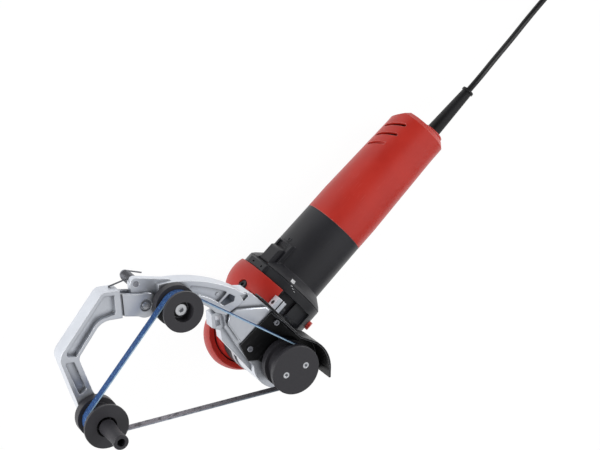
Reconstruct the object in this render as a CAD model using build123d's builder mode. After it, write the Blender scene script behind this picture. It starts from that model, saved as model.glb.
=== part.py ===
from build123d import *
import os
from math import cos, pi, radians, sin, sqrt, tan

# Pipe sander: an angle motor that drives a narrow sanding belt over a hooked, hinged arm.
# The tool lies on its flat back. +X runs along the motor barrel to the cord, +Z along the
# spindle to the rollers, and the arm reaches out to +Y. The spindle axis is x = y = 0.

# General clearances
GAP = 0.3            # between faces of pieces that move past each other
RUN = 0.05           # radial running fit
SEAT = 0.02          # radial snug seat
THREAD = 0.05        # radial room round a screw

# Main axes
AXIS_HEIGHT = 38.0   # barrel axis above the flat back
ROLLER_REACH = 126.0  # barrel axis to the front face of the drive roller

# Barrel
FLANGE_X = 57.5      # front face of the gear case flange
FLANGE_T = 10.5      # gear case flange thickness
FLANGE_RIM = 7.0     # flange edge outside the gear case
SLEEVE_LENGTH = 84.0
SLEEVE_R = 36.8      # at the joint with the motor housing
SLEEVE_NECK_R = 37.6  # where the flare ends
FLARE_LENGTH = 12.0
HOUSING_R = 36.9
HOUSING_STRAIGHT = 28.0
HOUSING_LENGTH = 152.0
TAIL_R = 33.6
TAIL_STRAIGHT = 22.0
END_CHAMFER = 5.0
WALL = 3.4
SPIGOT_LENGTH = 6.0

# Gear case, hood and neck
HOOD_NOSE = 47.5     # spindle axis to the nose of the hood
HOOD_SHOULDER = (-10.0, 40.5)  # along the barrel and radius
HOOD_WAIST = (24.0, 48.5)
HOOD_SWELL = 6.0     # how far the hood swells behind its waist
HOOD_OVERHANG = 3.2  # rear edge of the hood outside the flange
HOOD_WALL = 6.0
HOOD_REAR_WALL = 4.0
HOOD_GAP = 1.4       # between the gear case and the hood
CASE_R = 43.0
CASE_WALL = 4.0
HOOD_SIDE_TOP = 26.0  # hood rim over the barrel axis, beside the spindle
HOOD_RIGHT_TOP = 17.0  # the same on the side of the lock button
HOOD_BAND_X = 34.0   # front edge of the high part of the rim
HOOD_BAND_END = 61.0  # where the high part ends around the barrel
NOSE_RIM_X = -2.0    # the sloped rim of the nose lies ahead of this
NOSE_RIM = 7.0       # its height over the barrel axis, at the spindle
NOSE_RIM_FALL = (0.266, 0.324)  # how it falls along x and y
NECK_R = 34.0
NECK_RISE = 38.0     # barrel axis to the top of the neck
BEARING_FLANGE_T = 6.0
COLLAR_R = 27.0
HOOD_SCREW = (33.6, 16.3)  # along the barrel, over the barrel axis
HOOD_SCREW_R = 3.0
HOOD_SCREW_SEAT = 48.4  # from the barrel axis out to the seat of the screw head
BACK_SCREWS = [(40.0, 18.0), (40.0, -18.0)]
CASE_SCREWS = [62, 170, 215, 325]  # places around the gear case flange
CASE_SCREW_STEP = 3.2  # screw circle outside the gear case
FLANGE_SCREWS = [45, 135, 225, 315]
FLANGE_SCREW_R = 31.2
HANDLE_X = 22.0      # socket of the side handle
HANDLE_R = 4.0
HANDLE_BOSS_R = 8.0
HANDLE_DEPTH = 16.0
HANDLE_FACE = 49.5   # from the barrel axis out to the face of the socket

# Gears
PINION_TEETH = 10
CROWN_TEETH = 30
CROWN_PITCH_R = 27.0
TOOTH_FACE = 8.0
ADDENDUM = 1.3
DEDENDUM = 1.8
TOOTH_HALF = 0.95    # half thickness at the pitch line
CROWN_R = 28.0
CROWN_BACK = 19.0    # back of the crown gear over the barrel axis

# Motor
SHAFT_R = 5.0
STATOR_BORE = 21.4
STACK_LENGTH = 54.0
STACK_X = 131.0
ARMATURE_R = 20.6
COMMUTATOR_R = 12.0
COMMUTATOR_GAP = 21.0  # from the stack to the commutator
COMMUTATOR_LENGTH = 20.0
FAN_X = 92.0
FAN_LENGTH = 15.0
FAN_R = 26.5
FRONT_BEARING_R = 16.0
REAR_BEARING_R = 11.0
BRUSH_ROOM = 10.0    # from the commutator to the rear bearing
BEARING_WIDTH = 10.0
LOCK_COLLAR_R = 13.0
LOCK_X = 50.0
LOCK_ANGLE = 141.0   # around the barrel, from +Y towards +Z
LOCK_PIN_R = 2.5
LOCK_TRAVEL = 4.0
FLAT_Y = 27.0        # flats at the side of the stack, room for the switch rod

# Slide switch
SWITCH_ANGLE = 12.0  # around the barrel, from +Y towards +Z
SWITCH_X = 68.8
SWITCH_LENGTH = 23.2
SWITCH_WIDTH = 17.6
SWITCH_TOP = 48.0
SWITCH_TRAVEL = 8.0
TRACK_TOP = 40.8
TRACK_FLOOR = 38.6   # under the button
FOOT_X = (3.0, 9.0)   # foot of the button, behind its front end
FOOT_WIDTH = 4.0
TRACK_RIM = 3.0      # beside the button
COLLAR_PAD = 2.6     # raised pad ahead of the button, over the flange
ROD_T = 2.0
ROD_WIDTH = 6.0

# Spindle and rollers
SPINDLE_R = 8.5
SPINDLE_TAIL_R = 5.0
SPINDLE_BEARING_R = 19.0
IDLER = (-33.6, 149.3)
TIP = (-166.8, 130.2)
DRIVE_DRUM_R = 21.8
DRIVE_DISC_R = 27.2
DRIVE_BACK_R = 26.4
IDLER_DRUM_R = 15.8
IDLER_RIM_R = 21.4
TIP_RIM_R = 23.0
CHANNEL = 12.0       # width between the roller rims
FRONT_RIM = 8.6      # belt channel behind the front of the rollers
RIM_T = 3.2          # thickness of the front rims
DISC_T = 5.6         # thickness of the drive disc
BACK_RIM = 9.0
DRIVE_BACK_RIM = 7.4
TIP_FORWARD = 3.7    # tip roller front face ahead of the drive roller
DISC_SCREW_R = 11.9  # screw circle on the drive disc
DISC_SCREW_ANGLE = -26.0
AXLE_R = 4.0
ROLLER_BEARING_R = 9.5
ROLLER_BEARING_T = 6.0
HUB_RECESS_R = 10.5
HUB_RECESS = 7.3

# Sanding belt
BELT_WIDTH = 9.0
BELT_T = 0.9

# Arm
ARM_GAP = 1.4        # arm front to the back of the rollers
ARM_T = 20.0
WEB_T = 8.0
BASE_DROP = 2.5      # base face behind the arm front
BASE_T = 22.5
CLAMP_R = 33.0
CLAMP_GAP = 4.0      # between the bearing flange and the clamp ring
LUG = (12.0, 48.0, 18.0, 30.0)  # x and y extent of the clamp lug
LUG_T = 10.0
PAD_RISE = 4.0       # raised pad on the base
LEDGE_T = 13.0       # lower, wider part of the base
PANEL_DEPTH = 3.5    # recessed panel of the inner arm
WINDOW_DEPTH = 14.0
SLIT = 1.5
HINGE = (-53.0, 168.0)
HINGE_PIN_R = 4.0
HINGE_EAR_R = 13.0
EAR_T = 4.0
EAR_SET_BACK = 1.5
SPRING = (-44.0, 190.0)
SPRING_R = 5.0       # to the middle of the wire
SPRING_WIRE = 1.6
SPRING_PITCH = 2.1
SPRING_TURNS = 9
SPRING_PIN_R = 3.2

# Guard sheet
SHEET_T = 2.0
SHEET_WALL_TOP = 2.0  # guard edge behind the front of the drive roller
GUARD_SCREWS = [(24.0, 37.8), (-15.1, 40.9)]

# Grip stub on the tip roller
GRIP_END = 42.0      # stub end ahead of the drive roller
GRIP_BASE_R = 8.4
GRIP_END_R = 6.9
GRIP_LIP_R = 7.8
GRIP_BORE_R = 4.2
GRIP_BORE_DEPTH = 22.0

# Cord
CORD_R = 3.5
CORD_EXIT = (-11.0, 44.0)  # y and z of the cord exit
RELIEF_ROOT_R = 7.0   # in the wall of the housing
RELIEF_BASE_R = 8.2
RELIEF_END_R = 6.0
RELIEF_LENGTH = 63.0
LIP_T = 5.0
CORD_ROUTE = [
    (372.0, -11.0, 44.0),
    (390.0, -11.0, 44.0),
    (424.0, -17.5, 32.0),
    (460.0, -26.6, 17.4),
    (498.0, -31.6, 6.8),
    (540.0, -32.0, 5.0),
    (578.0, -32.0, 5.0),
]
COIL_CENTRE = (585.0, 23.0)
COIL_R = 55.0        # outermost turn, to the middle of the cord
COIL_PITCH = 7.5     # from turn to turn and from layer to layer
COIL_LAYERS = 4
COIL_LAYER_TURNS = 3.5625
COIL_REST = 5.0      # middle of the lowest layer above the table
TAIL_ROUTE = [
    (640.0, 30.0, 27.5),
    (640.0, 44.0, 27.5),
    (640.5, 63.0, 23.0),
    (641.0, 80.0, 15.5),
    (641.0, 96.0, 12.0),
    (641.0, 110.0, 12.0),
]
TIE_T = 1.2
TIE_WIDTH = 8.0
TIE_ROOM = 0.8
TIE_ANGLE = 120.0

# Places that follow from the sizes above
FLANGE_R = CASE_R + FLANGE_RIM
CASE_SCREW_R = CASE_R + CASE_SCREW_STEP
HOOD_REAR_R = FLANGE_R + HOOD_OVERHANG
COMMUTATOR_X = STACK_X + STACK_LENGTH + COMMUTATOR_GAP
REAR_BEARING_X = COMMUTATOR_X + COMMUTATOR_LENGTH + BRUSH_ROOM
SLEEVE_X = FLANGE_X + FLANGE_T
JOINT_X = SLEEVE_X + SLEEVE_LENGTH
END_X = JOINT_X + HOUSING_LENGTH
FRONT_Z = AXIS_HEIGHT + ROLLER_REACH
CHANNEL_TOP = FRONT_Z - FRONT_RIM
CHANNEL_BOTTOM = CHANNEL_TOP - CHANNEL
BELT_Z = CHANNEL_BOTTOM + CHANNEL / 2
ROLLER_BACK = CHANNEL_BOTTOM - BACK_RIM
DRIVE_BACK = CHANNEL_BOTTOM - DRIVE_BACK_RIM
ARM_FRONT = ROLLER_BACK - ARM_GAP
ARM_BACK = ARM_FRONT - ARM_T
WEB_BOTTOM = ARM_BACK + (ARM_T - WEB_T) / 2
WEB_TOP = WEB_BOTTOM + WEB_T
BASE_TOP = ARM_FRONT - BASE_DROP
BASE_BOTTOM = BASE_TOP - BASE_T
NECK_TOP = AXIS_HEIGHT + NECK_RISE
COLLAR_BASE = NECK_TOP + BEARING_FLANGE_T
COLLAR_TOP = BASE_BOTTOM + 2
CLAMP_BOTTOM = COLLAR_BASE + CLAMP_GAP
HOUSING_BORE = HOUSING_R - WALL - 1.4
TAIL_BORE = TAIL_R - WALL
STATOR_R = HOUSING_BORE - SEAT
GEAR_RATIO = CROWN_TEETH / PINION_TEETH
PINION_R = CROWN_PITCH_R / GEAR_RATIO
SPINDLE_BEARING_Z = COLLAR_BASE + 6
DRIVE = (0.0, 0.0)

BARREL_AXIS = Axis((0, 0, AXIS_HEIGHT), (1, 0, 0))
BARREL_PLANE = Plane((0, 0, AXIS_HEIGHT), x_dir=(1, 0, 0), z_dir=(0, -1, 0))


def turn_x(points, mode=Mode.ADD, angle=90, sweep_angle=360):
    """Turn (x, radius) points about the barrel axis, starting at an angle from +Y."""
    side = Vector(0, cos(radians(angle)), sin(radians(angle)))
    plane = Plane((0, 0, AXIS_HEIGHT), x_dir=(1, 0, 0), z_dir=Vector(1, 0, 0).cross(side))
    with BuildSketch(plane) as outline:
        with BuildLine():
            Polyline(*points, close=True)
        make_face()
    revolve(outline.sketch, axis=BARREL_AXIS, revolution_arc=sweep_angle, mode=mode)


def turn_z(centre, points, mode=Mode.ADD):
    """Turn (radius, z) points about an upright axis."""
    with BuildSketch(Plane((*centre, 0), x_dir=(1, 0, 0), z_dir=(0, -1, 0))) as outline:
        with BuildLine():
            Polyline(*points, close=True)
        make_face()
    revolve(outline.sketch, axis=Axis((*centre, 0), (0, 0, 1)), mode=mode)


def post(centre, radius, bottom, top, mode=Mode.ADD):
    """A round upright between two heights."""
    with BuildSketch(Plane.XY.offset(bottom)) as outline:
        with Locations(centre):
            Circle(radius)
    extrude(outline.sketch, amount=top - bottom, mode=mode)


def bar_x(y, z, radius, start, end, mode=Mode.ADD):
    """A round bar along X."""
    with BuildSketch(Plane((start, y, z), x_dir=(0, 1, 0), z_dir=(1, 0, 0))) as outline:
        Circle(radius)
    extrude(outline.sketch, amount=end - start, mode=mode)


def bar_y(x, z, radius, start, end, mode=Mode.ADD):
    """A round bar along Y."""
    with BuildSketch(Plane((x, start, z), x_dir=(1, 0, 0), z_dir=(0, 1, 0))) as outline:
        Circle(radius)
    extrude(outline.sketch, amount=end - start, mode=mode)


def slab(points, bottom, top, mode=Mode.ADD, corners=(), taper=0):
    """A flat plate with the given outline, (corner number, fillet radius) pairs and side slope."""
    with BuildSketch(Plane.XY.offset(bottom)) as outline:
        with BuildLine():
            Polyline(*points, close=True)
        make_face()
        for number, radius in corners:
            corner = outline.vertices().sort_by_distance((*points[number], bottom))[0]
            fillet(corner, radius)
    extrude(outline.sketch, amount=top - bottom, taper=taper, mode=mode)


def block(x, y, z, mode=Mode.ADD):
    """A box from its x, y and z extents."""
    slab([(x[0], y[0]), (x[1], y[0]), (x[1], y[1]), (x[0], y[1])], z[0], z[1], mode)


def flat_back(height):
    """Cut away everything lower than a height."""
    split(bisect_by=Plane.XY.offset(height), keep=Keep.TOP)


def barrel_point(x, radius, angle):
    """A point around the barrel, the angle counted from +Y towards +Z."""
    turn = radians(angle)
    return (x, radius * cos(turn), AXIS_HEIGHT + radius * sin(turn))


def radial_bar(x, angle, radius, start, end, mode=Mode.ADD):
    """A round bar that points away from the barrel axis."""
    out = Vector(0, cos(radians(angle)), sin(radians(angle)))
    with BuildSketch(Plane(barrel_point(x, start, angle), x_dir=(1, 0, 0), z_dir=out)) as outline:
        Circle(radius)
    extrude(outline.sketch, amount=end - start, mode=mode)


def side_plate(x, out, half, mode=Mode.ADD):
    """A box at the switch's place beside the barrel: its extents along and out, and its half width."""
    side_profile([(x[0], out[0]), (x[0], out[1]), (x[1], out[1]), (x[1], out[0])], half, mode)


def side_profile(points, half, mode=Mode.ADD):
    """(x, radius) points at the switch's place, made into a plate that reaches as far to both sides."""
    out = Vector(0, cos(radians(SWITCH_ANGLE)), sin(radians(SWITCH_ANGLE)))
    plane = Plane((0, 0, AXIS_HEIGHT), x_dir=(1, 0, 0), z_dir=Vector(1, 0, 0).cross(out))
    with BuildSketch(plane) as outline:
        with BuildLine():
            Polyline(*points, close=True)
        make_face()
    extrude(outline.sketch, amount=half, both=True, mode=mode)


def hex_socket(centre, width, top, depth):
    """A hexagon socket sunk into an upright screw head."""
    with BuildSketch(Plane.XY.offset(top - depth)) as outline:
        with Locations(centre):
            RegularPolygon(width / 2, 6, major_radius=False)
    extrude(outline.sketch, amount=depth, mode=Mode.SUBTRACT)


def turn_bell(inset, swell, rear_r, rear_x, mode=Mode.ADD):
    """The bell shape of the hood or gear case, inset from the outside of the hood."""
    waist_x, waist_r = HOOD_WAIST
    nose = (inset - HOOD_NOSE, 0)
    cheek = (0.8 * inset - 0.758 * HOOD_NOSE, 0.579 * HOOD_NOSE - 0.6 * inset)
    shoulder = (HOOD_SHOULDER[0] + 0.3 * inset, HOOD_SHOULDER[1] - 0.95 * inset)
    waist = (waist_x, waist_r - inset)
    with BuildSketch(BARREL_PLANE) as outline:
        with BuildLine():
            ThreePointArc(nose, cheek, shoulder)
            Line(shoulder, waist)
            if swell:
                ThreePointArc(waist, ((waist_x + rear_x) / 2, waist_r - inset + swell), (rear_x, rear_r))
            else:
                Line(waist, (rear_x, rear_r))
            Polyline((rear_x, rear_r), (rear_x, 0), nose)
        make_face()
    revolve(outline.sketch, axis=BARREL_AXIS, mode=mode)


# Motor housing, a red pot with slanted vents, the foremost one blind, a cord lip and a sloped corner
exit_y, exit_z = CORD_EXIT
tail_x = END_X - TAIL_STRAIGHT
tail_floor = END_X - WALL
SLOPE_ANGLE = -32.6
slope_point = Vector(*barrel_point(END_X - 14, TAIL_R, SLOPE_ANGLE))
slope_out = Vector(1, cos(radians(SLOPE_ANGLE)), sin(radians(SLOPE_ANGLE))).normalized()
with BuildPart() as housing_hollow:
    turn_x([
        (JOINT_X - SPIGOT_LENGTH, 0),
        (JOINT_X - SPIGOT_LENGTH, HOUSING_BORE),
        (REAR_BEARING_X, HOUSING_BORE),
        (REAR_BEARING_X, TAIL_BORE),
        (tail_floor - END_CHAMFER, TAIL_BORE),
        (tail_floor, TAIL_BORE - END_CHAMFER),
        (tail_floor, 0),
    ])
    split(bisect_by=Plane(slope_point - slope_out * WALL, z_dir=slope_out), keep=Keep.BOTTOM)

lip_r = 2 * RELIEF_ROOT_R
VENT = (29.0, 3.6)   # length and width of a vent
VENT_TILT = 23.6
VENT_STEP = 14.3
with BuildPart() as motor_housing:
    turn_x([
        (JOINT_X, 0),
        (JOINT_X, HOUSING_R),
        (JOINT_X + HOUSING_STRAIGHT, HOUSING_R),
        (tail_x, TAIL_R),
        (END_X - END_CHAMFER, TAIL_R),
        (END_X, TAIL_R - END_CHAMFER),
        (END_X, 0),
    ])
    turn_x([
        (JOINT_X - SPIGOT_LENGTH, 0),
        (JOINT_X - SPIGOT_LENGTH, HOUSING_BORE + WALL / 2),
        (JOINT_X + 1, HOUSING_BORE + WALL / 2),
        (JOINT_X + 1, 0),
    ])
    split(bisect_by=Plane(slope_point, z_dir=slope_out), keep=Keep.BOTTOM)
    with BuildSketch(Plane((0, exit_y, exit_z), x_dir=(1, 0, 0), z_dir=(0, -1, 0))):
        with BuildLine():
            Polyline((tail_floor, 0), (tail_floor, lip_r), (END_X + LIP_T - 1.2, lip_r),
                     (END_X + LIP_T, lip_r - 1.2), (END_X + LIP_T, 0), close=True)
        make_face()
    revolve(axis=Axis((0, exit_y, exit_z), (1, 0, 0)))
    add(housing_hollow.part, mode=Mode.SUBTRACT)
    bar_x(exit_y, exit_z, RELIEF_ROOT_R + SEAT, tail_floor - 1, END_X + LIP_T, Mode.SUBTRACT)
    for vent, depth in enumerate((12, 12, 2.2)):
        for side in (1, -1):
            middle = (END_X - 22.5 - VENT_STEP * vent, side * (TAIL_R - depth), AXIS_HEIGHT + 4.2)
            with BuildSketch(Plane(middle, x_dir=(1, 0, 0), z_dir=(0, side, 0))):
                SlotOverall(*VENT, rotation=side * (VENT_TILT - 90))
    extrude(amount=30, mode=Mode.SUBTRACT)

# Front sleeve, black, flared to meet the gear case, with the raised switch track
EDGE = 0.7           # bevelled edges where the flange and the sleeve meet
track_end = SWITCH_X + SWITCH_LENGTH + SWITCH_TRAVEL
with BuildPart() as front_sleeve:
    turn_x([
        (SLEEVE_X, 0),
        (SLEEVE_X, FLANGE_R - EDGE),
        (SLEEVE_X + EDGE, FLANGE_R),
        (SLEEVE_X + 0.35 * FLARE_LENGTH, FLANGE_R - 3),
        (SLEEVE_X + FLARE_LENGTH, SLEEVE_NECK_R),
        (JOINT_X, SLEEVE_R),
        (JOINT_X, 0),
    ])
    side_profile([
        (SLEEVE_X, 20),
        (SLEEVE_X, TRACK_TOP),
        (track_end + 1.0, TRACK_TOP),
        (track_end + 3.4, SLEEVE_R - 1),
        (track_end + 3.4, 20),
    ], SWITCH_WIDTH / 2 + TRACK_RIM)
    flat_back(0)
    turn_x([
        (SLEEVE_X - 1, 0),
        (SLEEVE_X - 1, SLEEVE_R - WALL + SEAT),
        (JOINT_X + 1, SLEEVE_R - WALL + SEAT),
        (JOINT_X + 1, 0),
    ], Mode.SUBTRACT)
    bar_spigot = HOUSING_BORE + WALL / 2 + SEAT
    turn_x([
        (JOINT_X - SPIGOT_LENGTH - SEAT, 0),
        (JOINT_X - SPIGOT_LENGTH - SEAT, bar_spigot),
        (JOINT_X + 1, bar_spigot),
        (JOINT_X + 1, 0),
    ], Mode.SUBTRACT)
    side_plate((SWITCH_X - GAP, track_end + GAP), (TRACK_FLOOR, FLANGE_R + COLLAR_PAD),
               SWITCH_WIDTH / 2 + GAP, Mode.SUBTRACT)
    for groove in range(3):
        groove_x = track_end - 1.6 - 2 * groove
        side_plate((groove_x - 0.9, groove_x), (TRACK_FLOOR - 0.5, TRACK_FLOOR + 1), SWITCH_WIDTH / 2 - 1.2,
                   Mode.SUBTRACT)
    slot_x = (SWITCH_X + FOOT_X[0] - GAP, SWITCH_X + FOOT_X[1] + SWITCH_TRAVEL + GAP)
    side_plate(slot_x, (20, TRACK_FLOOR + 1), FOOT_WIDTH / 2 + GAP, Mode.SUBTRACT)

# Gear case, black, with the neck for the spindle and the wall that carries the front motor bearing
case_inset = HOOD_WALL + HOOD_GAP
case_floor = case_inset
with BuildPart() as case_hollow:
    turn_bell(case_inset + CASE_WALL, 0, CASE_R - CASE_WALL, FLANGE_X - 2)
    flat_back(case_floor + CASE_WALL)

neck_bore = CROWN_R + 0.8
screw_boss = HOOD_SCREW_SEAT - HOOD_WALL - 2 * HOOD_GAP
with BuildPart() as gear_case:
    turn_bell(case_inset, 0, CASE_R, FLANGE_X + 1)
    post(DRIVE, NECK_R, AXIS_HEIGHT, NECK_TOP)
    turn_x([(HOOD_BAND_X, CASE_R - 2), (HOOD_BAND_X, FLANGE_R - 2), (HOOD_BAND_X + 4, FLANGE_R),
            (FLANGE_X + 1, FLANGE_R), (FLANGE_X + 1, CASE_R - 2)], angle=118, sweep_angle=37)
    flank_r = CLAMP_BOTTOM - AXIS_HEIGHT - 1
    flank_x = NECK_R + 4
    turn_x([(flank_x, CASE_R - 2), (flank_x, flank_r - 2), (flank_x + 3, flank_r),
            (FLANGE_X + 1, flank_r), (FLANGE_X + 1, CASE_R - 2)], angle=88, sweep_angle=32)
    flat_back(case_floor)
    turn_x([(FLANGE_X, 0), (FLANGE_X, FLANGE_R - EDGE), (FLANGE_X + EDGE, FLANGE_R),
            (SLEEVE_X - EDGE, FLANGE_R), (SLEEVE_X, FLANGE_R - EDGE), (SLEEVE_X, 0)])
    flat_back(0)
    side_profile([
        (FLANGE_X, FLANGE_R - 8),
        (FLANGE_X, FLANGE_R + COLLAR_PAD - 1),
        (FLANGE_X + 1, FLANGE_R + COLLAR_PAD),
        (SLEEVE_X - 2.5, FLANGE_R + COLLAR_PAD),
        (SLEEVE_X, FLANGE_R - 1.5),
        (SLEEVE_X, FLANGE_R - 8),
    ], SWITCH_WIDTH / 2 + TRACK_RIM + 2)
    for side in (-1, 1):
        pad_hole = SWITCH_ANGLE + 1.2 + side * 8
        radial_bar(SLEEVE_X - 6.2, pad_hole, 1.3, FLANGE_R - 3, FLANGE_R + 9, Mode.SUBTRACT)
    add(case_hollow.part, mode=Mode.SUBTRACT)
    post(DRIVE, NECK_R + GAP, NECK_TOP, NECK_TOP + 20, Mode.SUBTRACT)
    post(DRIVE, neck_bore, AXIS_HEIGHT, NECK_TOP, Mode.SUBTRACT)
    post(DRIVE, 2.2 * SPINDLE_TAIL_R, case_floor, case_floor + 16)
    post(DRIVE, 1.7 * SPINDLE_TAIL_R, case_floor + CASE_WALL, case_floor + 16, Mode.SUBTRACT)
    turn_x([(FLANGE_X - 3, 0), (FLANGE_X - 3, SHAFT_R + 3), (FLANGE_X, SHAFT_R + 3),
            (FLANGE_X, FRONT_BEARING_R + SEAT), (SLEEVE_X + 1, FRONT_BEARING_R + SEAT),
            (SLEEVE_X + 1, 0)], Mode.SUBTRACT)
    bar_y(HOOD_SCREW[0], AXIS_HEIGHT + HOOD_SCREW[1], 2 * HOOD_SCREW_R, screw_boss - 13.5, screw_boss)
    bar_y(HOOD_SCREW[0], AXIS_HEIGHT + HOOD_SCREW[1], HOOD_SCREW_R + THREAD, screw_boss - 11.5,
          HOOD_SCREW_SEAT, Mode.SUBTRACT)
    bar_y(HANDLE_X, AXIS_HEIGHT, HANDLE_BOSS_R, -HANDLE_FACE, 6 - HANDLE_FACE + HANDLE_DEPTH)
    bar_y(HANDLE_X, AXIS_HEIGHT, HANDLE_R, -HANDLE_FACE, HANDLE_DEPTH - HANDLE_FACE, Mode.SUBTRACT)
    radial_bar(LOCK_X, LOCK_ANGLE, LOCK_PIN_R + RUN, LOCK_COLLAR_R, FLANGE_R + 6, Mode.SUBTRACT)
    radial_bar(LOCK_X, LOCK_ANGLE, 2 * LOCK_PIN_R + GAP, FLANGE_R - LOCK_TRAVEL - 2, FLANGE_R + 6,
               Mode.SUBTRACT)
    for turn in CASE_SCREWS:
        radial = radians(turn)
        bar_x(CASE_SCREW_R * cos(radial), AXIS_HEIGHT + CASE_SCREW_R * sin(radial), 1.8 + THREAD, FLANGE_X,
              SLEEVE_X, Mode.SUBTRACT)
    for turn in FLANGE_SCREWS:
        spot = (FLANGE_SCREW_R * cos(radians(turn)), FLANGE_SCREW_R * sin(radians(turn)))
        post(spot, 1.6 + THREAD, NECK_TOP - 12, NECK_TOP, Mode.SUBTRACT)
    for spot in BACK_SCREWS:
        post(spot, 2 + THREAD, case_floor, case_floor + CASE_WALL, Mode.SUBTRACT)

# Screws that hold the gear case to the sleeve, heads inside the hood
with BuildPart() as case_screws:
    for turn in CASE_SCREWS:
        radial = radians(turn)
        place = (CASE_SCREW_R * cos(radial), AXIS_HEIGHT + CASE_SCREW_R * sin(radial))
        bar_x(*place, 1.8, FLANGE_X - 0.5, SLEEVE_X)
        bar_x(*place, 2.8, FLANGE_X - 3.5, FLANGE_X)

# Grip hood, a red bell over the gear case, cut flat at the back
hood_end = FLANGE_X - 0.2
with BuildPart() as hood_hollow:
    turn_bell(HOOD_WALL, HOOD_SWELL, HOOD_REAR_R - HOOD_REAR_WALL, hood_end)
    flat_back(HOOD_WALL)

far = 100
rim_out = Vector(*NOSE_RIM_FALL, 1).normalized()
with BuildPart() as over_nose_rim:
    block((-far, NOSE_RIM_X), (-far, far), (0, 2 * far))
    split(bisect_by=Plane((0, 0, AXIS_HEIGHT + NOSE_RIM), z_dir=rim_out), keep=Keep.TOP)

with BuildPart() as grip_hood:
    turn_bell(0, HOOD_SWELL, HOOD_REAR_R, hood_end)
    flat_back(0)
    add(hood_hollow.part, mode=Mode.SUBTRACT)
    turn_x([(NOSE_RIM_X, 0), (NOSE_RIM_X, far), (far, far), (far, 0)], Mode.SUBTRACT, HOOD_BAND_END,
           180 - HOOD_BAND_END)
    block((NOSE_RIM_X, HOOD_BAND_X), (-far, far), (AXIS_HEIGHT + HOOD_SIDE_TOP, 2 * far), Mode.SUBTRACT)
    block((NOSE_RIM_X, far), (-far, 0), (AXIS_HEIGHT + HOOD_RIGHT_TOP, 2 * far), Mode.SUBTRACT)
    add(over_nose_rim.part, mode=Mode.SUBTRACT)
    post(DRIVE, NECK_R + HOOD_GAP, AXIS_HEIGHT + 12, 2 * far, Mode.SUBTRACT)
    bar_y(HOOD_SCREW[0], AXIS_HEIGHT + HOOD_SCREW[1], HOOD_SCREW_R + THREAD, 20, far, Mode.SUBTRACT)
    bar_y(HOOD_SCREW[0], AXIS_HEIGHT + HOOD_SCREW[1], 2 * HOOD_SCREW_R, HOOD_SCREW_SEAT, far, Mode.SUBTRACT)
    bar_y(HANDLE_X, AXIS_HEIGHT, HANDLE_BOSS_R + GAP, -far, -20, Mode.SUBTRACT)
    for spot in BACK_SCREWS:
        post(spot, 2 + THREAD, 0, HOOD_WALL, Mode.SUBTRACT)
        post(spot, 4 + THREAD, 0, 2.4, Mode.SUBTRACT)

# Hood screws: a socket head in the side of the hood and two sunk heads in its back
with BuildPart() as hood_screws:
    head_end = HOOD_SCREW_SEAT + 2.6
    bar_y(HOOD_SCREW[0], AXIS_HEIGHT + HOOD_SCREW[1], HOOD_SCREW_R, screw_boss - 10.5, HOOD_SCREW_SEAT + 1)
    bar_y(HOOD_SCREW[0], AXIS_HEIGHT + HOOD_SCREW[1], 1.8 * HOOD_SCREW_R, HOOD_SCREW_SEAT, head_end)
    socket_place = (HOOD_SCREW[0], head_end - 1.8, AXIS_HEIGHT + HOOD_SCREW[1])
    with BuildSketch(Plane(socket_place, x_dir=(1, 0, 0), z_dir=(0, 1, 0))):
        RegularPolygon(2.5, 6, major_radius=False)
    extrude(amount=2, mode=Mode.SUBTRACT)
    for spot in BACK_SCREWS:
        post(spot, 2, 1, case_floor + CASE_WALL)
        post(spot, 4, 0.4, 2.4)

# Bearing flange, cast aluminium, whose collar carries the arm
with BuildPart() as bearing_flange:
    post(DRIVE, NECK_R, NECK_TOP, COLLAR_BASE)
    post(DRIVE, COLLAR_R, COLLAR_BASE, COLLAR_TOP)
    post(DRIVE, neck_bore - SEAT, NECK_TOP - 5, NECK_TOP)
    post(DRIVE, SPINDLE_BEARING_R + SEAT, SPINDLE_BEARING_Z, COLLAR_TOP, Mode.SUBTRACT)
    post(DRIVE, SPINDLE_R + 3, NECK_TOP - 5, COLLAR_TOP, Mode.SUBTRACT)
    for turn in FLANGE_SCREWS:
        spot = (FLANGE_SCREW_R * cos(radians(turn)), FLANGE_SCREW_R * sin(radians(turn)))
        post(spot, 1.6 + THREAD, NECK_TOP, COLLAR_BASE, Mode.SUBTRACT)
        post(spot, 2.6 + THREAD, COLLAR_BASE - 2.6, COLLAR_BASE, Mode.SUBTRACT)

with BuildPart() as flange_screws:
    for turn in FLANGE_SCREWS:
        spot = (FLANGE_SCREW_R * cos(radians(turn)), FLANGE_SCREW_R * sin(radians(turn)))
        post(spot, 1.6, NECK_TOP - 11, COLLAR_BASE - 2.6)
        post(spot, 2.6, COLLAR_BASE - 2.6, COLLAR_BASE)
        hex_socket(spot, 2.6, COLLAR_BASE, 1.4)

with BuildPart() as spindle_bearing:
    post(DRIVE, SPINDLE_BEARING_R, SPINDLE_BEARING_Z, SPINDLE_BEARING_Z + 13)
    post(DRIVE, SPINDLE_R + RUN, SPINDLE_BEARING_Z, SPINDLE_BEARING_Z + 13, Mode.SUBTRACT)

with BuildPart() as tail_bush:
    post(DRIVE, 1.7 * SPINDLE_TAIL_R - SEAT, case_floor + CASE_WALL, case_floor + 16)
    post(DRIVE, SPINDLE_TAIL_R + RUN, case_floor + CASE_WALL, case_floor + 16, Mode.SUBTRACT)

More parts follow.
